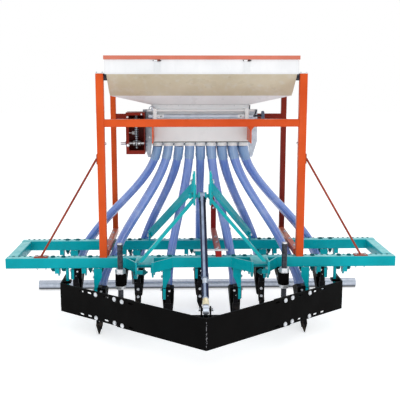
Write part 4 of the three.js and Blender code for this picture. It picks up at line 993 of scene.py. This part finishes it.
def add_blade():
    for side, name in SIDES:
        near, far = wing_frame(side, 0.0), wing_frame(side, LAP_FRONT)
        inner = Form()
        slots = [slot_outline(a, z) for a in INNER_SLOTS for z in BOLT_ROWS]
        inner.sheet(blade_outline(0.3, WING_JOINT), slots,
                    lambda a, b, c, at=near: at(max(a, c * tan(WING) + 0.3), b, c), BLADE_THICK)
        put(f"{name}_blade_inner_plate", inner, BLACK, "blade", 1.0, [f"{name}_blade_wing"])
        outer = Form()
        start = WING_JOINT - WING_LAP
        shared = tuple(a for a in INNER_SLOTS if a > start + 40)
        slots = [slot_outline(a, z) for a in OUTER_SLOTS + shared for z in BOLT_ROWS]
        outer.sheet(blade_outline(start, WING_LENGTH), slots, far, BLADE_THICK)
        corner = far(WING_LENGTH, 0, 0)
        x0 = min(corner.x, corner.x - side * BLADE_THICK)
        spots = ((0, BLADE_LOW), (250, BLADE_LOW), (250, BLADE_TOP - 8), (236, BLADE_TOP), (0, BLADE_TOP))
        outer.slab([(x0, corner.y + a, b) for a, b in spots], (BLADE_THICK, 0, 0))
        guide = (abs(low("left_blade_extension").x) - GUIDE_INSET) * side
        inner_x = guide - side * 24
        x0, x1 = sorted((inner_x, corner.x - side))
        hole = [(guide + 16 * cos(a), 16 * sin(a)) for a in map(radians, range(0, 360, 15))]
        outer.sheet([(x0, -26), (x1, -26), (x1, 26), (x0, 26)], [hole],
                    lambda a, b, c: Vector((a, b, BLADE_TOP - 24 + c)), 16)
        put(f"{name}_blade_outer_plate", outer, BLACK, "blade", 1.0, [f"{name}_blade_extension"])
        bolts = Form()
        for spots, at in ((INNER_BOLTS, near), (OUTER_BOLTS, far)):
            for along in spots:
                for z in BOLT_ROWS:
                    face, out = at(along, z, 0), at(along, z, -1) - at(along, z, 0)
                    bolts.washer(face, out, 14.5, 3)
                    bolts.dome(face + 3 * unit(out), out, 11.5, 8.5, 20)
                    rear = at(along, z, BLADE_THICK if at is far else 2 * BLADE_THICK + 0.3)
                    bolts.bolt(rear, -out, 19, 0.4, 8)
        put(f"{name}_blade_bolts", bolts, ZINC, "blade", 0.3)
        beads = Form()
        beads.weld(far(WING_LENGTH, BLADE_LOW + 6, 3), far(WING_LENGTH, BLADE_TOP - 6, 3), 7)
        put(f"{name}_blade_end_weld", beads, BLACK, "blade", 0)
    seam = Form()
    for low_end, high_end in ((0.12, 0.17), (0.33, 0.42), (0.49, 0.55), (0.62, 0.78), (0.86, 0.9)):
        run = [(0, NOSE_Y + 1.5, BLADE_LOW + t * (BLADE_TOP - BLADE_LOW)) for t in (low_end, high_end)]
        seam.weld(run[0], run[1], 5)
    for z, r in ((205, 3.6), (216, 3.0), (236, 4.0), (243, 2.8), (263, 2.6), (312, 3.0)):
        seam.dome((r * 0.7, NOSE_Y + 2.4, z), AHEAD, r, 2.0, 10)
    put("blade_nose_weld", seam, SPATTER, "blade", 0)


def add_clevis_details():
    caps, base = Form(), Form()
    for side in (-1, 1):
        caps.bolt((side * 30.2, CLEVIS_Y, CLEVIS_Z), (side, 0, 0), 17)
        for x in (side * 19, side * 32):
            base.weld((x, CLEVIS_Y - 18, BASE_TOP), (x, CLEVIS_Y + 18, BASE_TOP), 6)
    base.turned((0, CLEVIS_Y + 4, BASE_TOP - 1), UP, [(0, 13), (6, 13), (9, 10)], 20)
    put("clevis_pin_heads", caps, ZINC, "blade", 0.3)
    put("clevis_welds", base, BLACK, "blade", 0)


add_blade()
add_clevis_details()

# -------- blade jacks
JACK_X, JACK_Y = 533.0, -150.0
SCREW_R, SCREW_LOW, SCREW_TOP = 18.5, 205.0, 629.0
SLEEVE_R, SLEEVE_BOTTOM, SLEEVE_TOP = 33.5, 348.0, 428.0
BORE = SCREW_R + 1


def add_jacks():
    for side, name in SIDES:
        x = side * JACK_X
        screw = Form().thread((x, JACK_Y, SCREW_LOW + 38), (x, JACK_Y, SCREW_TOP - 6), SCREW_R, 2.6, 8.0)
        put(f"{name}_jack_thread", screw, THREAD, "blade", 0, [f"{name}_jack_screw"])
        cap = Form().turned((x, JACK_Y, SCREW_TOP - 7), UP, [(0, 17.5), (5, 17.5), (7, 15)], 28)
        put(f"{name}_jack_screw_cap", cap, ZINC, "blade", 0)
        arm = Form()
        at = wing_frame(side, 2 * BLADE_THICK + 0.8)
        ends = []
        for edge in (JACK_X - 22, JACK_X + 22):
            along = (edge + (2 * BLADE_THICK + 0.8) * sin(WING)) / cos(WING)
            ends.append((side * edge, at(along, 0, 0).y))
        (xa, ya), (xb, yb) = ends
        arm.slab([(xa, ya, 209), (xb, yb, 209), (xb, JACK_Y + 22, 209), (xa, JACK_Y + 22, 209)], (0, 0, 32))
        arm.turned((x, JACK_Y, 205.5), UP, [(0, 20), (2, 22), (39, 22), (42, 19)], 28)
        put(f"{name}_jack_arm", arm, BLACK, "blade", 2.0)

        top = Form().turned((x, JACK_Y, SLEEVE_TOP), UP, [
            (0, 33), (2, 35), (27, 35), (33, 30), (33, BORE), (0, BORE)], 6, True, 0.5)
        for z in (3, 9):
            top.turned((x, JACK_Y, SLEEVE_TOP + z), UP,
                       [(0, 33), (1.5, 34.6), (3, 33), (3, 25), (0, 25)], 30, True)
        put(f"{name}_jack_top_nut", top, ZINC, "frame", 0.8, [f"{name}_jack_sleeve"])
        low_nut = Form().turned((x, JACK_Y, SLEEVE_BOTTOM - 24), UP, [
            (0, 28), (4, 31), (14, 31), (14, 34.5), (24, 34.5), (24, BORE), (0, BORE)], 30, True)
        put(f"{name}_jack_lower_nut", low_nut, ZINC, "frame", 0.8)
        sleeve = Form().turned((x, JACK_Y, SLEEVE_BOTTOM), UP, [
            (0, 31), (3, 33.5), (77, 33.5), (80, 31), (80, BORE), (0, BORE)], 32, True)
        inner = side * (JACK_X - SLEEVE_R)
        web = [(JACK_Y - 16, 352), (20, 392), (33, 418), (33, BAR_LOW - 0.5), (JACK_Y + 60, BAR_LOW - 0.5),
               (JACK_Y - 4, 424), (JACK_Y - 18, 412)]
        sleeve.slab([(inner - 6, a, b) for a, b in web], (12, 0, 0))
        x0, x1 = sorted((inner - side * 30, side * (JACK_X + 30)))
        sleeve.block(x0, x1, -34, 34, BAR_LOW - 12, BAR_LOW - 0.5)
        put(f"{name}_jack_body", sleeve, BLACK, "frame", 1.2)
        fix = Form()
        for px in (x0 + 14, x1 - 14):
            fix.bolt((px, 0, BAR_LOW - 12), DOWN, 17, 0.3)
        fix.dome((inner - side * 6, JACK_Y + 42, 392), (-side, 0, 0), 9, 6)
        put(f"{name}_jack_bolts", fix, ZINC, "frame", 0.3)


add_jacks()

# -------- posts, rails and stays


def foot_welds(form, x, y, half, z):
    for s in (-1, 1):
        form.weld((x - half + 4, y + s * half, z), (x + half - 4, y + s * half, z), 6)
        form.weld((x + s * half, y - half + 4, z), (x + s * half, y + half - 4, z), 6)


RAIL_BOLT_Z, RAIL_DEPTH = 1259.0, 49.0


def add_post_details():
    for side, name in SIDES:
        x, rx = side * POST_X, side * REAR_POST_X
        beads = Form()
        for s in (-1, 1):
            beads.weld((x - 21, s * 24.8, BAR_TOP + 2.2), (x + 21, s * 24.8, BAR_TOP + 2.2), 6)
        foot_welds(beads, rx, REAR_POST_Y, 20, BAR_TOP + 42.2)
        high_rail = high("front_cross_rail").z
        for z in (high_rail, high_rail - RAIL_DEPTH):
            beads.weld((x - side * 25.5, -20, z), (x - side * 25.5, 20, z), 6)
        put(f"{name}_post_welds", beads, ORANGE, ease=0)

        fix = Form()
        fix.bolt((x - side * 25, 0, RAIL_BOLT_Z), (-side, 0, 0), 15, 0.3)
        for dx in (-24, 22):
            fix.bolt((x + side * dx * 0.8, -12, POST_TOP + 5), UP, 9, 0.3)
        for y in (120, 330, 560):
            fix.bolt((rx, y, BAR_TOP + 40), UP, 13, 0.3)
        foot = side * (HALF_WIDTH - 230)
        for dx in (-28, 30):
            fix.bolt((foot + side * dx, 0, BAR_TOP + 6.3), UP, 15, 0.3)
            fix.bolt((foot + side * dx, 0, BAR_LOW), DOWN, 13, 0.3, 8)
        put(f"{name}_post_bolts", fix, ZINC, ease=0.3)

        plate = Form()
        plate.block(side * HOPPER_X, x + side * 24, -24, 24, POST_TOP + 0.4, POST_TOP + 5)
        put(f"{name}_post_cap", plate, WHITE, ease=0.8)
        angle = Form()
        angle.block(side * 606.5, side * 629.5, -8, -5.2, POST_TOP - 44, POST_TOP - 1)
        angle.bolt((side * 618, -8, POST_TOP - 24), AHEAD, 10, 0.2)
        put(f"{name}_hopper_angle", angle, DARK_STEEL, ease=0.6)
    gusset = Form()
    hx = METER_X - 15
    rail_low = high("front_cross_rail").z - RAIL_DEPTH
    for a, b, drop_x, drop in ((-22, -3, -3, 30), (3, 20, 3, 24)):
        gusset.slab([(hx + a, -16, rail_low), (hx + b, -16, rail_low), (hx + drop_x, -16, rail_low - drop)],
                    (0, 5, 0))
    put("hanger_gusset", gusset, ORANGE, ease=0.6)


def add_centre_rail_details():
    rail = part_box("centre_stand")
    x = (rail[0].x + rail[1].x) / 2 / MM
    y = rail[0].y / MM - SHIFT
    top = BAR_TOP + 40
    strap = Form().block(x - 168, x + 62, y + 2, y + 27, top + 0.4, top + 8)
    put("centre_rail_strap", strap, WHITE, ease=0.8)
    fix = Form()
    for place in ((x - 12, y + 14, top + 8), (x, y + 80, top), (x, y + 250, top), (x, y + 420, top)):
        fix.bolt(place, UP, 13, 0.3)
    for z in (700, 820):
        fix.bolt((x, REAR_POST_Y - 20, z), AHEAD, 13)
    put("centre_rail_bolts", fix, ZINC, ease=0.3)
    lug = Form()
    spots = ((-18, BAR_TOP), (18, BAR_TOP), (18, 575), (9, 590), (-9, 590), (-18, 575))
    lug.slab([(200.0, REAR_Y + a, b) for a, b in spots], (28, 0, 0))
    put("rear_bar_lug", lug, CRIMSON, ease=1.5)


add_post_details()
add_centre_rail_details()

# -------- hopper and lid
HINGE_X, HINGE_WIDTH, HINGE_Z = 285.0, 42.0, 1787.0
SLOPE_RUN, HEM = 206.0, 2.2


def add_hopper_details():
    trim = Form()
    for y, out in ((HOPPER_FRONT, -1), (HOPPER_BACK, 1)):
        trim.block(-HOPPER_X, HOPPER_X, y, y + out * HEM, BAND_LOW, BAND_LOW + 9)
    for side in (-1, 1):
        x0, x1 = side * HOPPER_X, side * (HOPPER_X + HEM)
        trim.block(x0, x1, HOPPER_FRONT, HOPPER_BACK, BAND_LOW, BAND_LOW + 9)
        for y, out in ((HOPPER_FRONT, -1), (HOPPER_BACK, 1)):
            trim.block(x0, x1, y + out * 1.5, y - out * 14, BAND_LOW + 9, 1790)
    put("hopper_band_hem", trim, WHITE, ease=0.7)

    seams = Form()
    for side in (-1, 1):
        for y, way in ((HOPPER_FRONT, 1), (HOPPER_BACK, -1)):
            seams.weld((side * 605.5, y + way * 4, BAND_LOW - 4),
                       (side * 605.5, y + way * (SLOPE_RUN - 1), SLOPE_LOW + 2), 4.5)
    put("hopper_slope_seams", seams, HOPPER, ease=0)

    flange = Form()
    for y, out in ((METER_FRONT, -1), (METER_BACK, 1)):
        flange.block(-METER_X, METER_X, y, y + out * 9, METER_TOP - 3.4, METER_TOP - 0.4)
    put("metering_flange", flange, WHITE, ease=0.6)
    rivets = Form()
    for k in range(-4, 5):
        for y, out in ((METER_FRONT, -1), (METER_BACK, 1)):
            rivets.bolt((k * 76, y + out * 5, METER_TOP - 3.4), DOWN, 7, 0.3)
    put("metering_flange_bolts", rivets, ZINC, ease=0)

    for side, name in SIDES:
        x0, x1 = side * HINGE_X - HINGE_WIDTH / 2, side * HINGE_X + HINGE_WIDTH / 2
        leaf = Form()
        spots = ((x0 + 0.5, 1712), (x0 + 6, 1709.5), (x1 - 6, 1709.5), (x1 - 0.5, 1712), (x1 - 0.5, 1779),
                 (x0 + 0.5, 1779))
        leaf.slab([(a, HOPPER_FRONT - 3, b) for a, b in spots], (0, -2.2, 0))
        put(f"{name}_hinge_leaf", leaf, WHITE, ease=0.6)
        start, end = (x0 - 3, HOPPER_FRONT - 8, HINGE_Z), (x1 + 3, HOPPER_FRONT - 8, HINGE_Z)
        pin = Form().bar(start, end, 3.0, 14, 0.5)
        pin.dome(start, (-1, 0, 0), 4.6, 2.5, 14)
        pin.dome(end, (1, 0, 0), 4.6, 2.5, 14)
        put(f"{name}_hinge_pin", pin, DARK_STEEL, ease=0)
        knuckle = Form().bar((x0 + 1, HOPPER_FRONT - 8, HINGE_Z), (x1 - 1, HOPPER_FRONT - 8, HINGE_Z),
                             4.8, 20, 0.6, 3.2)
        # The knuckles take the darker orange as painted shade under the lid.
        put(f"{name}_hinge_knuckle", knuckle, SHADED, "lid", ease=0)


add_hopper_details()

# -------- metering box and its rods
ROD_Y, ROD_Z = METER_FRONT - 30, 1424.0
INDEX_Z = 1462.0
BRACKET_X = METER_X - 25


def add_metering_details():
    gasket = Form()
    for y0, y1 in ((METER_FRONT - 2.4, METER_FRONT + 1), (METER_BACK - 1, METER_BACK + 2.4)):
        gasket.block(-METER_X - 0.8, METER_X + 0.8, y0, y1, METER_LOW - 1, METER_LOW + 4)
    put("metering_gasket", gasket, RUBBER, ease=0.6)
    panel, screws = Form(), Form()
    for x in (k * OUTLET_PITCH for k in ROWS):
        panel.block(x - 29, x + 29, METER_BACK, METER_BACK + 1.6, METER_LOW + 12, METER_LOW + 78)
        for dz in (20, 70):
            screws.dome((x, METER_BACK + 1.6, METER_LOW + dz), BACK, 2.6, 1.6, 10)
    put("roller_covers", panel, WHITE, ease=0.6)
    put("roller_cover_screws", screws, ZINC, ease=0)
    rims = Form()
    for y in OUTLET_Y:
        for k in ROWS:
            x = k * OUTLET_PITCH
            rims.turned((x, y, OUTLET_FACE + 0.2), UP, [
                (0, 33.2), (0, 35.0), (7, 35.0), (9, 33.6), (24, 33.4), (24, 32.8)], 32, True)
    put("outlet_rims", rims, WHITE, ease=0)

    for side, name in SIDES:
        collar = Form()
        a, b = side * (BRACKET_X - 14), side * (BRACKET_X - 48)
        collar.turned((a, ROD_Y, ROD_Z), (-side, 0, 0), [
            (0, 18), (2, 20), (14, 20), (16, 18), (24, 18), (26, 19.5), (33, 19.5), (34, 18),
            (34, 15.2), (0, 15.2)], 30, True)
        collar.turned((b, ROD_Y, ROD_Z), (-side, 0, 0), [
            (0, 16.8), (5, 16.8), (12, 15.3), (12, 15.15), (0, 15.15)], 24, True)
        put(f"{name}_rod_collar", collar, ZINC, ease=0.3)
        grub = Form().bolt((b + side * 8, ROD_Y - 19.5, ROD_Z), AHEAD, 7)
        put(f"{name}_rod_grub_screw", grub, DARK_STEEL, ease=0)
        ends = Form()
        end = side * (METER_X + 20)
        ends.hexagon((end, ROD_Y, INDEX_Z), (side, 0, 0), 17, 9)
        ends.washer((side * (BRACKET_X + 12), ROD_Y, INDEX_Z), (side, 0, 0), 12, 2, 7.2)
        ends.washer((side * (BRACKET_X + 12), ROD_Y, ROD_Z), (side, 0, 0), 21, 2.5, 15.2)
        put(f"{name}_rod_end", ends, ZINC, ease=0.3)
        plate = Form()
        bx, spots = side * BRACKET_X, ((-22, 1392), (22, 1392), (22, 1488), (-22, 1488))
        plate.slab([(bx + a, METER_FRONT - 1, b) for a, b in spots], (0, -6, 0))
        put(f"{name}_bracket_foot", plate, WHITE, ease=1.0)
        feet = Form()
        for dz in (1400, 1480):
            for dx in (-17, 17):
                feet.bolt((bx + dx, METER_FRONT - 7, dz), AHEAD, 8, 0.3)
        put(f"{name}_bracket_bolts", feet, ZINC, ease=0)
    hook = Form()
    x = -BRACKET_X - 18
    path = ((-22, 1468), (-20, 1482), (-8, 1491), (8, 1490), (19, 1480), (21, 1466), (22, 1450))
    hook.tube([Vector((x + a, ROD_Y - 8, b)) for a, b in path], 3.2, 12)
    hook.turned((x + 2, ROD_Y - 6, 1472), AHEAD, [(0, 9), (3, 11), (7, 11), (9, 8)], 20)
    put("release_hook", hook, GALVANISED, ease=0)
    lever = Form()
    x = METER_X - 4
    lever.bar((x, ROD_Y, 1470), (x, ROD_Y - 10, 1494), 3.5, 12)
    lever.dome((x, ROD_Y - 10, 1492), (0, -0.4, 1), 5.0, 6)
    lever.bar((METER_X + 20, ROD_Y, ROD_Z), (METER_X + 82, ROD_Y, ROD_Z + 4), 6, 16)
    lever.slab([(METER_X + a, ROD_Y - 12, b) for a, b in ((26, 1428), (33, 1428), (46, 1462), (37, 1468))],
               (0, 9, 0))
    put("rate_lever", lever, DARK_STEEL, ease=0.5)
    knob = Form()
    flutes = 18
    rings = []
    for d, r in ((0, 26), (3, 31), (16, 31), (19, 27), (19, 12), (17, 10)):
        first, second = across((1, 0, 0))
        points = []
        for i in range(flutes * 4):
            a = 2 * pi * i / (flutes * 4)
            dent = 1.3 if i % 4 == 0 and r > 25 else 0.0
            spot = Vector((METER_X + 76 + d, ROD_Y, ROD_Z + 4))
            points.append(spot + (r - dent) * (cos(a) * first + sin(a) * second))
        rings.append(points)
    put("rate_knob", knob.loft(rings), GREY, ease=0)


add_metering_details()

# -------- chain drive
CHAIN_PITCH, CHAIN_JOIN = 12.7, 6.0
FEED_TEETH, DRIVE_TEETH = 22, 16
LINK_R, LINK_WAIST, PLATE_THICK = 5.3, 3.4, 1.5
FEED_Z, TENSIONER_Z, DRIVE_Z = 1385.0, 1308.0, 1236.0
GEAR_X, GEAR_Y = -440.0, METER_FRONT + 21
FEED_R = CHAIN_PITCH / 2 / sin(pi / FEED_TEETH)
DRIVE_R = CHAIN_PITCH / 2 / sin(pi / DRIVE_TEETH)
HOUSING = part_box("gear_housing")


def chain_line():
    """Centres of the pins round both sprockets, and whether each lies on a straight run."""
    gap = FEED_Z - DRIVE_Z
    lean = asin((FEED_R - DRIVE_R) / gap)
    run = gap * cos(lean)
    upper, lower = FEED_R * (pi + 2 * lean), DRIVE_R * (pi - 2 * lean)
    total = 2 * run + upper + lower
    count = 2 * round(total / CHAIN_PITCH / 2)

    def on(z, r, a):
        return GEAR_Y + r * cos(a), z + r * sin(a)

    spots = []
    for k in range(count):
        s = total * k / count
        if s < upper:
            spots.append((*on(FEED_Z, FEED_R, s / FEED_R - lean), False))
            continue
        down, s = s < upper + run, s - upper
        if not down and s < run + lower:
            spots.append((*on(DRIVE_Z, DRIVE_R, pi + lean + (s - run) / DRIVE_R), False))
            continue
        s -= 0 if down else run + lower
        y, z = on(FEED_Z, FEED_R, pi + lean) if down else on(DRIVE_Z, DRIVE_R, -lean)
        z_step = -s * cos(lean) if down else s * cos(lean)
        spots.append((y + s * sin(lean), z + z_step, s > CHAIN_JOIN and run - s > CHAIN_JOIN))
    return spots


def add_chain():
    spots = chain_line()
    plates, pins = Form(), Form()
    for k, (y, z, free) in enumerate(spots):
        ny, nz, _ = spots[(k + 1) % len(spots)]
        along = Vector((0, ny - y, nz - z)).normalized()
        up = Vector((0, -along.z, along.y))
        start, end = Vector((0, y, z)), Vector((0, ny, nz))
        outline = []
        for centre, way in ((end, 1), (start, -1)):
            for t in map(radians, (-80, -40, 0, 40, 80)):
                outline.append(centre + LINK_R * way * (cos(t) * along + sin(t) * up))
            outline.append((start + end) / 2 + way * LINK_WAIST * up)
        offset = 5.2 if k % 2 else 6.9
        for side in (-1, 1):
            shift = Vector((GEAR_X + side * offset - (0.7 if side < 0 else 0.8), 0, 0))
            plates.slab([p + shift for p in outline], (PLATE_THICK, 0, 0))
        if free:
            pins.turned((GEAR_X - 9.5, y, z), (1, 0, 0), [
                (0, 2.2), (4.6, 2.2), (4.7, 4.1), (14.3, 4.1), (14.4, 2.2), (19, 2.2)], 12)
        else:
            for side in (-1, 1):
                pins.turned((GEAR_X + side * 4.8, y, z), (side, 0, 0), [(0, 2.2), (4.7, 2.2)], 10)
    put("drive_chain_plates", plates, DARK_STEEL, ease=0)
    put("drive_chain_pins", pins, STEEL, ease=0)


def add_gear_details():
    x0, x1 = HOUSING[0].x / MM, HOUSING[1].x / MM
    y0 = HOUSING[0].y / MM - SHIFT
    z0, z1 = HOUSING[0].z / MM, HOUSING[1].z / MM
    lip = Form()
    for a, b, c, d in ((x0 + 4, x0 + 20, z0 + 4, z1 - 4), (x0 + 20, x1 - 4, z0 + 4, z0 + 26),
                       (x0 + 20, x1 - 4, z1 - 18, z1 - 4)):
        lip.block(a, b, y0 + 0.5, y0 + 3.5, c, d)
    put("gear_housing_lip", lip, RED, ease=0.8)
    fix = Form()
    for x, z, flats in ((x0 + 13, z0 + 62, 15), (x0 + 12, z1 - 30, 11), (x1 - 20, z1 - 11, 9)):
        fix.bolt((x, y0 + 0.5, z), AHEAD, flats, 0.2)
    for z in (FEED_Z, DRIVE_Z):
        r = 14 if z == FEED_Z else 11
        for s in (-1, 1):
            fix.bolt((GEAR_X + s * 19, GEAR_Y - r - 9, z), AHEAD, 9)
    fix.bolt((x1 + 24, METER_FRONT + 116, 1270), AHEAD, 11)
    put("gear_housing_bolts", fix, ZINC, ease=0.3)
    for z, node, r in ((FEED_Z, "feed", 14), (DRIVE_Z, "drive", 11)):
        extra = Form()
        for s in (-1, 1):
            extra.turned((GEAR_X + s * 15, GEAR_Y, z), (s, 0, 0), [
                (0, r + 7), (2, r + 8), (10, r + 8), (12, r + 6), (12, r), (0, r)], 28, True)
        for k in range(5):
            a = 2 * pi * k / 5
            y, zz = GEAR_Y + (r + 17) * cos(a), z + (r + 17) * sin(a)
            for s in (-1, 1) if node == "feed" else ():
                extra.turned((GEAR_X + s * 4, y, zz), (s, 0, 0), [(0, 5.2), (1.0, 5.2), (1.6, 4.2)], 16)
        put(f"{node}_shaft_collars", extra, ZINC, node, ease=0.3)
    bearing = Form()
    for x, way, z, r in ((x0, -1, DRIVE_Z, 12), (x1, 1, DRIVE_Z, 12), (x1, 1, FEED_Z, 15),
                         (-METER_X, -1, FEED_Z, 15)):
        bearing.turned((x, GEAR_Y, z), (way, 0, 0), [
            (0, r + 12), (4, r + 12), (6, r + 6), (9, r + 5), (9, r + 0.2), (0, r + 0.2)], 28, True)
    put("shaft_bearings", bearing, GREY, ease=0.4)
    roller = Form()
    for a, b, r, sides, edge in ((-30, -12, 13, 24, 1.5), (-62, -6, 4, 14, 1.0)):
        start, end = [(GEAR_X + x, GEAR_Y + 2, TENSIONER_Z) for x in (a, b)]
        roller.bar(start, end, r, sides, edge)
    put("chain_tensioner", roller, WHITE, ease=0.3)


add_chain()
add_gear_details()

# -------- hitch and mast
MAST_Y, MAST_PIN_Z, TOP_HOLE_Z = -100.0, 928.0, 1052.0
HITCH_OUTER, HITCH_INNER, HITCH_PIN_Z = 430.0, 325.0, 430.0


def add_hitch_details():
    pin_y = -BAR / 2 - 98
    beads, pins = Form(), Form()
    for side in (-1, 1):
        for x in (side * HITCH_OUTER, side * HITCH_INNER):
            for s in (-1, 1):
                beads.weld((x + s * 6, -36, BAR_LOW + 4), (x + s * 6, -36, BAR_TOP - 6), 6)
        for x, way, profile, sides in (
                (436, side, [(0, 20), (3, 21), (7, 21), (8, 19)], 28),
                (368, -side, [(-20, 17), (-20, 20), (-8, 20), (-6, 17)], 24),
                (366, side, [(0, 11), (3, 14.2), (9, 14.2)], 24),
                (356.5, side, [(0, 6), (2, 7.5), (9.5, 7.5)], 16)):
            pins.turned((side * x, pin_y, HITCH_PIN_Z), (way, 0, 0), profile, sides)
        x = side * 425
        beads.weld((x - 18, -133 + 8, BAR_TOP - 14), (x + 18, -133 + 8, BAR_TOP - 14), 6)
    put("hitch_welds", beads, TEAL, ease=0)
    put("hitch_pin_collars", pins, TEAL_DARK, ease=0.4)


def add_mast_details():
    rings, heads = Form(), Form()
    for side in (-1, 1):
        x = side * 58
        rings.turned((x, MAST_Y, TOP_HOLE_Z), (side, 0, 0), [
            (0, 20), (4, 20), (5, 18.5), (5, 13.4), (0, 13.4)], 28, True)
        inner = side * 46
        rings.block(inner, inner - side * 7, MAST_Y - 30, MAST_Y + 16, MAST_PIN_Z + 20, MAST_PIN_Z + 74)
        rings.turned((inner, MAST_Y, MAST_PIN_Z), (-side, 0, 0), [
            (0, 22), (5, 22), (7, 19), (7, 12.8), (0, 12.8)], 28, True)
        heads.washer((x, MAST_Y, MAST_PIN_Z), (side, 0, 0), 24 if side < 0 else 22, 4, 12.6, 28)
        if side < 0:
            heads.hexagon((x - 11, MAST_Y, MAST_PIN_Z), (-1, 0, 0), 36, 18, 0.3)
        else:
            heads.tube([Vector((x + 8, MAST_Y, MAST_PIN_Z + a)) for a in (-21, -10, 0, 10, 21)], 2.4, 10)
            heads.tube([Vector((x + 8 + 9 * sin(t), MAST_Y - 10 + 10 * cos(t), MAST_PIN_Z + 21))
                        for t in (radians(a) for a in range(0, 331, 30))], 1.8, 8)
    put("mast_bosses", rings, TEAL_BRIGHT, ease=0.6)
    put("mast_pin_head", heads, TEAL_BRIGHT, ease=0.5)

    beads, fix = Form(), Form()
    for side in (-1, 1):
        for dy, z in ((50, 972), (50, 1022), (-12, 1018)):
            fix.bolt((side * 68.3, MAST_Y + dy, z), (side, 0, 0), 13, 0.3)
        x = side * 370
        for edge in (x - 6, x + 6):
            beads.weld((edge, REAR_Y - 32, BAR_TOP + 1.5), (edge, REAR_Y + 32, BAR_TOP + 1.5), 6)
        for dy in (-20, 22):
            for way in (side, -side):
                fix.bolt((x + way * 6, REAR_Y + dy, BAR_TOP + 34), (way, 0, 0), 14, 0.3)
        for edge in (side * 416 - 12, side * 416 + 12):
            beads.weld((edge, -160, BAR_TOP + 2), (edge, -117, BAR_TOP + 2), 6)
    put("mast_welds", beads, TEAL, ease=0)
    put("brace_bolts", fix, ZINC, ease=0.3)


add_hitch_details()
add_mast_details()

# -------- centre link
BARREL = 640.0
REACH = hypot(CLEVIS_Y - MAST_Y, CLEVIS_Z - MAST_PIN_Z)
LINK_TURN = atan2(CLEVIS_Y - MAST_Y, MAST_PIN_Z - CLEVIS_Z)
LINK_PLACE = Matrix.Translation((0, MAST_Y, MAST_PIN_Z)) @ Matrix.Rotation(LINK_TURN, 4, "X")
SLEEVE_LENGTH = REACH - 76 - BARREL - 40


def add_link_details():
    barrel = Form()
    barrel.turned((0, 0, -BARREL), UP, [
        (0, 21), (2, 23), (32, 23), (36, 21.6), (36, 20.6), (0, 15.7)], 30, True)
    barrel.turned((0, 0, -52), UP, [
        (0, 21.6), (3, 24), (24, 24), (28, 21.6), (28, 20.8), (0, 20.8)], 30, True)
    put("link_barrel_collars", barrel, NAVY, "link_barrel", 0.4, place=LINK_PLACE)
    eye = Form()
    for side in (-1, 1):
        eye.turned((side * 28, 0, 0), (-side, 0, 0), [
            (0, 22), (2, 25), (10, 25), (12, 24.2), (12, 23.8), (0, 14)], 28, True)
    put("link_barrel_eye_rings", eye, TEAL, "link_barrel", 0.3, place=LINK_PLACE)
    sleeve = Form().turned((0, 0, -REACH + 76), UP, [
        (0, 18), (2, 20), (SLEEVE_LENGTH - 2, 20), (SLEEVE_LENGTH, 18), (SLEEVE_LENGTH, 15.2),
        (0, 15.2)], 30, True)
    put("link_rod_tube", sleeve, NAVY, "link_rod", 0.4, place=LINK_PLACE)
    head = Form().turned((0, 0, -REACH + 26), UP, [
        (0, 18), (6, 20), (34, 18.5), (44, 15.4), (44, 15.1), (0, 15.1)], 28, True)
    put("link_rod_socket", head, BRASS, "link_rod", 0.4, place=LINK_PLACE)
    bush = Form()
    for side in (-1, 1):
        bush.turned((side * 15, 0, -REACH), (side, 0, 0), [(0, 26), (2.5, 25), (2.5, 17), (0, 17)], 30, True)
    put("link_rod_eye_faces", bush, ZINC, "link_rod", 0.3, place=LINK_PLACE)


add_link_details()

# -------- drag pipe
PIPE_Y, PIPE_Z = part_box("drag_pipe")[1].y / MM - SHIFT - 36, 36.0
PIPE_ARM_X, PIVOT_Y, PIVOT_Z = 520.0, REAR_Y + 72, 460.0


def add_pipe_details():
    beads, pins = Form(), Form()
    for x in (-PIPE_ARM_X, PIPE_ARM_X):
        for s in (-1, 1):
            beads.weld((x + s * 10, PIPE_Y - 32, PIPE_Z + 17), (x + s * 10, PIPE_Y - 8, PIPE_Z + 35), 6)
            pins.bolt((x + s * 24.2, PIVOT_Y, PIVOT_Z), (s, 0, 0), 17, 0.3)
    put("pipe_welds", beads, PIPE_ZINC, "pipe", 0)
    put("pipe_pivot_nuts", pins, ZINC, ease=0.3)


add_pipe_details()
